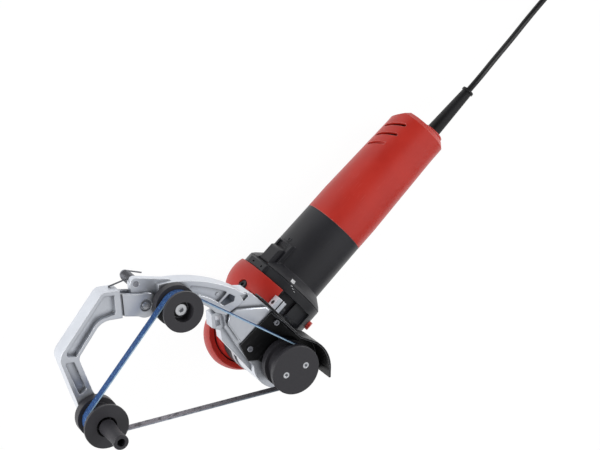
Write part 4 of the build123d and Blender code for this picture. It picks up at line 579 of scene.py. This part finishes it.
def turned(name, deep, pale, gloss, metal, centre=(0, 0, 0), rings=RINGS, rounding=0.0004):
    """Turned on a lathe: faint rings about the axis of the piece."""
    finish = Finish(name, Metallic=metal)
    marks = finish.group(ring_group, Centre=centre, Rings=rings)
    skin = finish.group(skin_group, Grain=1500.0, Cloud=60.0, Gloss_Low=gloss[0], Gloss_High=gloss[1])
    edge = finish.group(edge_group, Round=rounding)
    tone = finish.math("ADD", finish.times(marks["Shade"], 0.55), finish.times(skin["Shade"], 0.45))
    body = finish.mix(tone, deep, pale)
    # Edges drawn towards the pale tone: partly worn, partly painted highlight.
    finish.colour(finish.mix(finish.times(edge["Rubbed"], 0.35), body, pale))
    finish.rough(skin["Roughness"])
    finish.relief(marks["Height"], FINE_DEPTH, 0.5, edge["Normal"])
    return finish.material


# Centre lines of the three rollers
DRIVE = Vector((0, 0, 0))
IDLER = Vector((-33.6, 149.3, 0))
TIP = Vector((-166.8, 130.2, 0))

# The belt's long run: painted shade near the drive roller that lifts to painted light near the tip.
RUN_INNER = (0.012, 0.014)   # metres from the line between the two centres
RUN_PALER = (0.07, 0.145)    # metres from the drive roller
RUN_SOIL = srgb(40, 38, 43)


def long_run(finish):
    """Mask of the belt's long run between the drive roller and the tip, and how near the tip it is."""
    way = (TIP - DRIVE).normalized()
    across = finish.vector("DOT_PRODUCT", finish.place(), (-way.y, way.x, 0))["Value"]
    along = finish.vector("DOT_PRODUCT", finish.place(), way)["Value"]
    return finish.band(across, *RUN_INNER), finish.band(along, *RUN_PALER)


def speckled(name, deep, pale, light, gloss, grain, depth, flecked=(0.58, 0.68), run_shade_to_light=None):
    """Grit or cloth: a dense speckle of three tones, and perhaps, along the long run, painted shade near
    the drive roller that lifts to painted light near the tip, with soiled patches.
    """
    finish = Finish(name)
    grit = finish.specks(grain)
    drift = finish.noise(grain / 3, 4.0)
    body = finish.mix(finish.band(drift, 0.35, 0.65), deep, pale)
    flecks = finish.band(finish.noise(grain * 0.6, 2.0), *flecked)
    body = finish.mix(flecks, body, light)
    # Painted shade near the drive roller, painted light near the tip, and soiled patches.
    if run_shade_to_light is not None:
        run, near_tip = long_run(finish)
        soiled = finish.times(finish.band(finish.noise(190.0, 5.0), 0.54, 0.6), 0.7)
        tone = finish.mix(soiled, finish.mix(near_tip, *run_shade_to_light), RUN_SOIL)
        body = finish.mix(finish.times(run, 0.75), body, tone)
    finish.colour(body)
    finish.rough(finish.band(drift, *MIDDLE, *gloss))
    finish.relief(finish.math("ADD", grit, drift), depth, 0.8)
    return finish.material


SEAL_INNER = 0.0055  # metres from the axle's centre line
SEAL_OUTER = 0.0087
SEAL_EDGE = 0.0001


def sealed_bearing(name, centre):
    """Ball bearing from its side: steel rings with a black seal between them."""
    finish = Finish(name)
    marks = finish.group(ring_group, Centre=centre * MM, Rings=2600.0)
    skin = finish.group(skin_group, Grain=1500.0, Cloud=80.0, Gloss_Low=0.28, Gloss_High=0.4)
    inside = finish.band(marks["Distance"], SEAL_INNER - SEAL_EDGE, SEAL_INNER + SEAL_EDGE)
    outside = finish.band(marks["Distance"], SEAL_OUTER + SEAL_EDGE, SEAL_OUTER - SEAL_EDGE)
    seal = finish.times(inside, outside)
    ring = finish.mix(marks["Shade"], srgb(120, 122, 127), srgb(168, 170, 175))
    finish.colour(finish.mix(seal, ring, srgb(22, 22, 24)))
    finish.feed(finish.shader, "Metallic", finish.math("SUBTRACT", 1.0, seal))
    finish.rough(finish.math("ADD", skin["Roughness"], finish.times(seal, 0.15)))
    finish.relief(marks["Height"], FINE_DEPTH, 0.5)
    return finish.material


PLUG_FACE = 0.1642   # where the plug's body ends and its pins begin, in metres


def plug_moulding():
    """Black moulded plug with brass pins."""
    finish = Finish("plug_moulding")
    skin = finish.group(skin_group, Grain=1300.0, Cloud=40.0, Gloss_Low=0.34, Gloss_High=0.48)
    edge = finish.group(edge_group, Round=0.0006)
    along = finish.node("SeparateXYZ", Vector=finish.place()).outputs["Y"]
    pins = finish.band(along, PLUG_FACE, PLUG_FACE + 0.0001)
    body = finish.mix(finish.spread(skin["Shade"]), srgb(26, 26, 29), srgb(37, 37, 41))
    # Paler edges: partly worn, partly painted highlight.
    body = finish.mix(finish.times(edge["Rubbed"], 0.4), body, srgb(70, 70, 74))
    metal = finish.mix(skin["Shade"], srgb(168, 138, 76), srgb(212, 184, 122))
    finish.colour(finish.mix(pins, body, metal))
    finish.feed(finish.shader, "Metallic", pins)
    finish.rough(finish.math("SUBTRACT", skin["Roughness"], finish.times(pins, 0.14)))
    finish.relief(skin["Height"], FINE_DEPTH, 0.5, edge["Normal"])
    return finish.material


# The third colour of each moulding and casting is what scuffs and pale edges are drawn to: scuffs and some
# edges are worn, the rest is painted highlight.
red_shell = moulding("red_shell", srgb(186, 33, 18), srgb(198, 41, 25), srgb(236, 140, 132), (0.4, 0.5),
                     rounding=0.0011, shine=0.58, pale_edge_spread=0.9)
red_hood = moulding("red_hood", srgb(182, 31, 18), srgb(194, 38, 24), srgb(226, 118, 108), (0.42, 0.52),
                    rounding=0.0009, shine=0.5, pale_edge_spread=0.8)
black_sleeve = moulding("black_sleeve", srgb(27, 27, 32), srgb(36, 36, 41), srgb(84, 84, 90), (0.42, 0.54),
                        grain=900.0, depth=6e-5, rounding=0.0009, shine=0.44, pale_edge_spread=0.9)
black_inner = moulding("black_inner", srgb(28, 28, 31), srgb(36, 36, 39), srgb(60, 60, 64), (0.45, 0.6))
black_case = casting("black_case", srgb(31, 32, 36), srgb(39, 40, 44), srgb(80, 81, 86), (0.42, 0.54), 0.0,
                     grain=800.0, depth=5e-5, shine=0.42, lining=srgb(178, 30, 20))
cast_alloy = casting("cast_alloy", srgb(203, 207, 215), srgb(219, 223, 230), srgb(246, 248, 251),
                     (0.32, 0.44), 0.8, rounding=0.0011)
zinc = turned("zinc", srgb(136, 138, 146), srgb(186, 188, 196), (0.24, 0.36), 0.9)
# Near black paint with a pale grey painted highlight along its edges, partly worn.
guard_paint = moulding("guard_paint", srgb(13, 13, 15), srgb(19, 19, 21), srgb(168, 170, 175), (0.32, 0.44),
                       grain=900.0, depth=3e-5, rounding=0.0009, shine=0.28, pale_edge_spread=1.3)
rubber = moulding("rubber", srgb(15, 15, 17), srgb(22, 22, 25), srgb(44, 44, 48), (0.4, 0.54),
                  grain=1400.0, depth=2e-5, shine=0.32)
strap_weave = speckled("strap_weave", srgb(24, 24, 27), srgb(38, 38, 42), srgb(58, 58, 63), (0.7, 0.85),
                       grain=1300.0, depth=15e-5)
steel = turned("steel", srgb(188, 190, 195), srgb(222, 224, 228), (0.22, 0.34), 1.0)
dark_steel = turned("dark_steel", srgb(36, 37, 40), srgb(54, 55, 59), (0.34, 0.46), 0.7)
turned_alloy = turned("turned_alloy", srgb(176, 178, 184), srgb(208, 210, 216), (0.28, 0.4), 1.0)
spring_wire = turned("spring_wire", srgb(84, 85, 90), srgb(122, 123, 129), (0.3, 0.42), 0.85, rings=5200.0)
copper = turned("copper", srgb(168, 96, 56), srgb(206, 130, 84), (0.28, 0.42), 1.0, rings=3800.0)
laminations = turned("laminations", srgb(96, 97, 101), srgb(136, 137, 142), (0.4, 0.55), 0.85, rings=1800.0)
carbon = moulding("carbon", srgb(30, 30, 31), srgb(42, 42, 44), srgb(70, 70, 72), (0.5, 0.65), grain=1600.0)
white_print = moulding("white_print", srgb(214, 215, 218), srgb(230, 231, 233), srgb(242, 242, 243),
                       (0.4, 0.5))
grit_blue = speckled("grit_blue", srgb(20, 54, 106), srgb(36, 82, 142), srgb(94, 140, 192), (0.6, 0.78),
                     grain=1500.0, depth=12e-5, flecked=(0.56, 0.68))
# On the long run, painted shade near the drive roller and painted light near the tip.
cut_edge = speckled("cut_edge", srgb(140, 174, 204), srgb(172, 202, 224), srgb(212, 230, 242), (0.6, 0.78),
                    grain=1500.0, depth=8e-5, run_shade_to_light=(srgb(88, 86, 92), srgb(164, 160, 168)))
cloth_back = speckled("cloth_back", srgb(88, 87, 94), srgb(122, 120, 127), srgb(48, 47, 52), (0.66, 0.82),
                      grain=900.0, depth=8e-5, flecked=(0.52, 0.6),
                      run_shade_to_light=(srgb(96, 94, 100), srgb(176, 172, 180)))
plug_finish = plug_moulding()


def roller_black(name, centre):
    """Machined black roller."""
    return turned(name, srgb(42, 41, 46), srgb(54, 53, 58), (0.46, 0.58), 0.0, centre * MM, rings=1900.0,
                  rounding=0.0006)


drive_black = roller_black("drive_black", DRIVE)
idler_black = roller_black("idler_black", IDLER)
tip_black = roller_black("tip_black", TIP)

FINISH_OF = {
    red_shell: ["motor_housing", "lock_button"],
    red_hood: ["grip_hood"],
    black_sleeve: ["front_sleeve", "slide_button"],
    black_case: ["gear_case"],
    black_inner: ["air_baffle", "bearing_bridge", "brush_holders", "mains_switch", "control_module",
                  "cord_clamp", "switch_rod", "cooling_fan"],
    cast_alloy: ["arm_bracket", "outer_arm"],
    turned_alloy: ["bearing_flange"],
    guard_paint: ["guard_sheet"],
    rubber: ["strain_relief"],
    plug_finish: ["mains_plug"],
    zinc: ["guard_screws", "flange_screws", "spring_pin"],
    steel: ["spindle_bearing", "front_motor_bearing", "rear_motor_bearing", "disc_screws", "idler_axle",
            "tip_axle", "spindle", "crown_gear", "pinion", "armature_shaft", "hinge_pin"],
    dark_steel: ["hood_screws", "case_screws", "clamp_screw"],
    spring_wire: ["lock_spring", "brush_springs"],
    copper: ["field_coils", "armature_windings", "commutator", "tail_bush"],
    laminations: ["stator_core", "armature_core"],
    carbon: ["carbon_brushes"],
    drive_black: ["drive_roller", "drive_disc"],
    idler_black: ["idler_roller"],
    tip_black: ["tip_roller", "grip_stub"],
    sealed_bearing("idler_bearing_side", IDLER): ["idler_bearings"],
    sealed_bearing("tip_bearing_side", TIP): ["tip_bearings"],
}

for finish, names in FINISH_OF.items():
    for name in names:
        for slot in nodes[name].material_slots:
            slot.material = finish

dress(cord, rubber)
dress(strap, strap_weave)


# Sanding belt: one band round the three drums

DRIVE_DRUM_R = 21.8
SMALL_DRUM_R = 15.8
BELT_MIDDLE = 149.4
BELT_WIDTH = 9.0
BELT_T = 1.3
BELT_LIFT = 0.3      # off the drums
DRUM_POINTS = 160
RUN_LENGTH = 0.03    # metres, longer than any edge round a drum
RUN_CUTS = 40        # so that the runs can bend


def make_belt():
    """Hull of three discs, open top and bottom, thickened outwards, with pale cut edges."""
    clear_bench()
    drums = []
    for centre, radius in ((DRIVE, DRIVE_DRUM_R), (IDLER, SMALL_DRUM_R), (TIP, SMALL_DRUM_R)):
        bpy.ops.mesh.primitive_cylinder_add(
            vertices=DRUM_POINTS, radius=(radius + BELT_LIFT) * MM, depth=BELT_WIDTH * MM,
            location=(centre.x * MM, centre.y * MM, BELT_MIDDLE * MM))
        drums.append(bpy.context.object)
    clear_bench()
    for drum in drums:
        drum.select_set(True)
    bpy.context.view_layer.objects.active = drums[0]
    bpy.ops.object.join()
    belt = settle(start("belt"))
    open_mesh(belt)
    bpy.ops.mesh.select_all(action="SELECT")
    bpy.ops.mesh.convex_hull()
    pick(belt, "faces", lambda face: abs(face.normal.z) > 0.5)
    bpy.ops.mesh.delete(type="FACE")
    bpy.ops.mesh.select_all(action="SELECT")
    bpy.ops.mesh.dissolve_limited(angle_limit=radians(0.05))
    pick(belt, "edges", lambda edge: edge.calc_length() > RUN_LENGTH)
    bpy.ops.mesh.subdivide(number_cuts=RUN_CUTS)
    close_mesh()
    dress(belt, grit_blue, cloth_back, cut_edge)
    apply(belt, "SOLIDIFY", thickness=BELT_T * MM, offset=1.0, use_even_offset=True,
          material_offset=1, material_offset_rim=2)
    smooth(belt, 30)
    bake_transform(belt)
    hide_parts("sanding_belt")


make_belt()


# Tension spring: wound wire with a leg to each arm

SPRING = Vector((-44.0, 190.0, 0))
SPRING_R = 5.0
SPRING_WIRE = 1.6
SPRING_PITCH = 2.1
SPRING_START = 30.0  # degrees
SPRING_END = 60.0
SPRING_TURNS = 9
SPRING_SWEEP = 360 * SPRING_TURNS + SPRING_END - SPRING_START
SPRING_RISE = SPRING_PITCH * SPRING_SWEEP / 360
SPRING_BOTTOM = 98.525
SPRING_STEPS = 320
WIRE_POINTS = 16
LEG_TO_BRACKET = 17.0
LEG_TO_ARM = 26.0


def spring_way(turn):
    """Direction of the wire at an angle."""
    side = radians(turn)
    return Vector((-SPRING_R * sin(side), SPRING_R * cos(side), SPRING_PITCH / (2 * pi))).normalized()


def make_spring():
    """A wire section wound up its axis, its two ends drawn out straight."""
    clear_bench()
    bpy.ops.mesh.primitive_circle_add(vertices=WIRE_POINTS, radius=SPRING_WIRE / 2 * MM,
                                      location=(SPRING_R * MM, 0, 0), rotation=(pi / 2, 0, 0))
    spring = settle(start("spring"))
    apply(spring, "SCREW", angle=radians(SPRING_SWEEP), screw_offset=SPRING_RISE * MM, steps=SPRING_STEPS,
          render_steps=SPRING_STEPS, axis="Z", use_merge_vertices=False)
    spring.rotation_euler.z = radians(SPRING_START)
    spring.location = (SPRING.x * MM, SPRING.y * MM, SPRING_BOTTOM * MM)
    settle(spring)
    open_mesh(spring)
    for turn, rise, leg in ((SPRING_START, 0, -LEG_TO_BRACKET), (SPRING_END, SPRING_RISE, LEG_TO_ARM)):
        side = radians(turn)
        out = SPRING_R * Vector((cos(side), sin(side), 0))
        middle = (SPRING + out + Vector((0, 0, SPRING_BOTTOM + rise))) * MM
        near = 1.5 * SPRING_WIRE / 2 * MM
        pick(spring, "edges",
             lambda edge: edge.is_boundary and (edge.verts[0].co - middle).length < near)
        drawn = spring_way(turn) * leg * MM
        bpy.ops.mesh.extrude_edges_move(TRANSFORM_OT_translate={"value": drawn})
        bpy.ops.mesh.edge_face_add()
    close_mesh()
    dress(spring, spring_wire)
    smooth(spring, 50)
    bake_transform(spring)
    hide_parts("tension_spring")


make_spring()


# Small marks on the barrel and its collar

FLARE_TILT = 40.6    # fall of the sleeve's front edge, in degrees
MARK_EASE = 0.08
SQUARE_SIDE = 4.6    # raised outline behind the switch
SQUARE_LINE = 0.8
SQUARE_RISE = 0.75
SQUARE_SEAT = (106.1, 37.0, 9.8)  # along the barrel, out from its axis, degrees round it
SPOT_SIDE = 4.8      # white square on the collar
SPOT_RISE = 0.8
SPOT_FRAME = 1.0
SPOT_SUNK = 0.25
SPOT_SEAT = (71.6, 47.0, 64.0, FLARE_TILT)
TICK_SIDES = (0.75, 2.2)
TICK_RISE = 0.5
TICK_TAPER = (0.8, 0.9)
TICK_RADIUS = 49.7
TICK_SEATS = [(67.2, 66.2), (65.7, 69.6), (64.2, 73.2)]  # along the barrel, degrees round it


def barrel_seat(x, radius, angle, tilt=0.0):
    """Place on the barrel, its Z outwards and its X along the barrel, tilted towards the cord."""
    side = radians(angle)
    out = Vector((0, cos(side), sin(side)))
    along = Vector((1, 0, 0))
    lean = radians(tilt)
    up = out * cos(lean) + along * sin(lean)
    ahead = along * cos(lean) - out * sin(lean)
    place = Vector((x, radius * out.y, AXIS_HEIGHT + radius * out.z)) * MM
    return Matrix.Translation(place) @ Matrix((ahead, up.cross(ahead), up)).transposed().to_4x4()


def finish_mark(mark, seat, finish):
    """Seats a mark on the barrel and fixes it there."""
    mark.matrix_world = seat
    settle(mark)
    ease_edges(mark, MARK_EASE, 2)
    smooth(mark)
    dress(mark, finish)
    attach(mark, "grinder")


def make_square_mark():
    """Raised square outline behind the switch."""
    clear_bench()
    bpy.ops.mesh.primitive_plane_add(size=SQUARE_SIDE * MM)
    mark = start("barrel_square")
    open_mesh(mark)
    bpy.ops.mesh.select_all(action="SELECT")
    bpy.ops.mesh.inset(thickness=SQUARE_LINE * MM)
    bpy.ops.mesh.delete(type="FACE")
    bpy.ops.mesh.select_all(action="SELECT")
    pull(z=SQUARE_RISE)
    close_mesh()
    finish_mark(mark, barrel_seat(*SQUARE_SEAT), black_case)


def make_collar_marks():
    """White square on the collar with a row of ticks that leads away from it."""
    clear_bench()
    bpy.ops.mesh.primitive_plane_add(size=SPOT_SIDE * MM)
    mark = start("collar_square")
    open_mesh(mark)
    bpy.ops.mesh.select_all(action="SELECT")
    pull(z=SPOT_RISE)
    pick(mark, "faces", lambda face: face.normal.z > 0.9)
    bpy.ops.mesh.inset(thickness=SPOT_FRAME * MM)
    pull(z=-SPOT_SUNK)
    close_mesh()
    finish_mark(mark, barrel_seat(*SPOT_SEAT), white_print)
    clear_bench()
    bpy.ops.mesh.primitive_plane_add(size=MM)
    tick = start("collar_tick_1")
    tick.scale = (*TICK_SIDES, 1)
    settle(tick)
    open_mesh(tick)
    bpy.ops.mesh.select_all(action="SELECT")
    pull(z=TICK_RISE)
    pick(tick, "faces", lambda face: face.normal.z > 0.9)
    bpy.ops.transform.resize(value=(*TICK_TAPER, 1))
    close_mesh()
    ticks = [tick, copy_of(tick, "collar_tick_2"), copy_of(tick, "collar_tick_3")]
    for piece, (x, angle) in zip(ticks, TICK_SEATS):
        finish_mark(piece, barrel_seat(x, TICK_RADIUS, angle), white_print)


make_square_mark()
make_collar_marks()


# Rounded crown of the pad on the bracket's base

PAD_TOP = 134.5
PAD_CROWN = 1.3
PAD_SUNK = 0.4       # how far the crown reaches into the pad
PAD_ROUND = 1.6
PAD_BACK = 56.0      # edge along the guard
PAD_SIDE = 28.4      # edge towards the barrel
PAD_OUTLINE = [(-16.9, 56.0), (-11.9, 82.4), (-2.8, 89.3), (5.5, 87.0), (28.4, 61.2)]


def make_pad_crown():
    """Block cut to the pad's outline, its open edges rounded over."""
    clear_bench()
    bpy.ops.mesh.primitive_cube_add(size=MM)
    crown = start("pad_crown")
    left, front = PAD_OUTLINE[0][0], PAD_OUTLINE[2][1]
    crown.scale = (PAD_SIDE - left, front - PAD_BACK, PAD_CROWN + PAD_SUNK)
    crown.location = ((PAD_SIDE + left) / 2 * MM, (front + PAD_BACK) / 2 * MM,
                      (PAD_TOP + (PAD_CROWN - PAD_SUNK) / 2) * MM)
    settle(crown)
    open_mesh(crown)
    for (ax, ay), (bx, by) in zip(PAD_OUTLINE, PAD_OUTLINE[1:]):
        outwards = Vector((ay - by, bx - ax, 0)).normalized()
        bpy.ops.mesh.select_all(action="SELECT")
        bpy.ops.mesh.bisect(plane_co=(ax * MM, ay * MM, PAD_TOP * MM), plane_no=outwards, use_fill=True,
                            clear_outer=True)
    top = (PAD_TOP + PAD_CROWN) * MM
    open_sides = PAD_BACK * MM + 10 * DOUBLES
    pick(crown, "edges", lambda edge: all(abs(v.co.z - top) < DOUBLES for v in edge.verts)
         and max(v.co.y for v in edge.verts) > open_sides)
    bpy.ops.mesh.bevel(offset=PAD_ROUND * MM, segments=4, affect="EDGES", clamp_overlap=True)
    close_mesh()
    smooth(crown, 50)
    dress(crown, cast_alloy)
    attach(crown, "inner_arm")


make_pad_crown()


# Grip ribs moulded round the neck of the plug

PLUG_NECK = Vector((641.0, 110.0, 12.0))
RIB_POINTS = 48
RIB_WIDTH = 0.22     # sizes of the first ring, which is 1 mm in radius and grows to the neck
RIB_T = 0.2
RIB_EASE = 0.05
RIB_STEP = 3.0
NECK_R = 5.2
NECK_GROWTH = 1.5 / 16


def make_plug_ribs():
    """One rib drawn out of a ring, then copied along the neck at growing size."""
    clear_bench()
    bpy.ops.mesh.primitive_circle_add(vertices=RIB_POINTS, radius=MM, rotation=(pi / 2, 0, 0))
    rib = settle(start("plug_rib_1"))
    open_mesh(rib)
    bpy.ops.mesh.select_all(action="SELECT")
    bpy.ops.mesh.extrude_edges_move(TRANSFORM_OT_translate={"value": (0, RIB_WIDTH * MM, 0)})
    close_mesh()
    apply(rib, "SOLIDIFY", thickness=RIB_T * MM, offset=0.0, use_even_offset=True)
    ease_edges(rib, RIB_EASE, 3)
    ribs = [rib] + [copy_of(rib, f"plug_rib_{number}") for number in (2, 3, 4)]
    for number, piece in enumerate(ribs, 1):
        along = RIB_STEP * number
        piece.scale = (NECK_R + NECK_GROWTH * along,) * 3
        piece.location = (PLUG_NECK + Vector((0, along, 0))) * MM
        settle(piece)
        smooth(piece)
        dress(piece, rubber)
        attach(piece, "grinder")


make_plug_ribs()


# Floor, backdrop and light

FLOOR_SIZE = 8
FLOOR_PLACE = (0.2, 0.1, -0.0005)
GLOW_SEEN = 1.03     # strength of the floor's white to the camera
GLOW_REFLECTED = 1.22
GLOW_SHARE = 0.94    # the rest shows the shadow
SKY = 0.15           # strength of the sky to everything but the camera
LAMPS = [            # name, place, aim, size, watts
    ("top_box", (0.3, -0.5, 1.8), (0.1, 0.05, 0.05), (3.2, 2.4), 15),
    ("rear_box", (2.1, -0.2, 1.3), (0.1, 0.05, 0.05), (0.9, 1.2), 22),
    ("front_box", (-1.5, 1.2, 1.2), (0.05, 0.05, 0.08), (0.9, 1.2), 8),
    ("left_box", (-1.0, 1.3, 0.5), (0.05, 0.05, 0.08), (1.5, 0.8), 15),
    ("right_box", (1.1, -0.9, 0.6), (0.1, 0.0, 0.06), (1.2, 0.7), 4),
]


def make_floor():
    """White floor that shows as white and keeps the shadow."""
    clear_bench()
    bpy.ops.mesh.primitive_plane_add(size=FLOOR_SIZE, location=FLOOR_PLACE)
    floor = settle(start("floor"))
    finish = Finish("white_floor", Base_Color=(0.82, 0.82, 0.82, 1), Roughness=0.9)
    path = finish.node("LightPath")
    seen = finish.math("MAXIMUM", path.outputs["Is Camera Ray"], path.outputs["Is Glossy Ray"])
    seen = finish.math("MAXIMUM", seen, path.outputs["Is Transmission Ray"])
    strength = finish.band(path.outputs["Is Glossy Ray"], 0, 1, GLOW_SEEN, GLOW_REFLECTED)
    glow = finish.node("Emission", Color=(1, 1, 1, 1), Strength=strength)
    mixed = finish.node("MixShader")
    finish.feed(mixed, "#0", finish.times(seen, GLOW_SHARE))
    finish.feed(mixed, "#1", finish.shader.outputs[0])
    finish.feed(mixed, "#2", glow.outputs[0])
    finish.tree.links.new(mixed.outputs[0], finish.tree.nodes["Material Output"].inputs["Surface"])
    dress(floor, finish.material)


def make_world():
    """White to the camera, a soft grey sky to everything else."""
    world = bpy.data.worlds.new("studio")
    scene.world = world
    world.use_nodes = True
    bench = Bench(world.node_tree)
    background = world.node_tree.nodes["Background"]
    path = bench.node("LightPath")
    bench.feed(background, "Color", (1, 1, 1, 1))
    bench.feed(background, "Strength", bench.band(path.outputs["Is Camera Ray"], 0, 1, SKY, 1.0))


def softbox(name, place, aim, size, power):
    """An area lamp that points at a spot."""
    lamp = bpy.data.lights.new(name, "AREA")
    lamp.shape = "RECTANGLE"
    lamp.size, lamp.size_y = size
    lamp.energy = power
    holder = bpy.data.objects.new(name, lamp)
    scene.collection.objects.link(holder)
    holder.location = place
    holder.rotation_mode = "QUATERNION"
    holder.rotation_quaternion = (Vector(aim) - Vector(place)).to_track_quat("-Z", "Y")


make_floor()
make_world()
for lamp in LAMPS:
    softbox(*lamp)

bpy.context.view_layer.update()
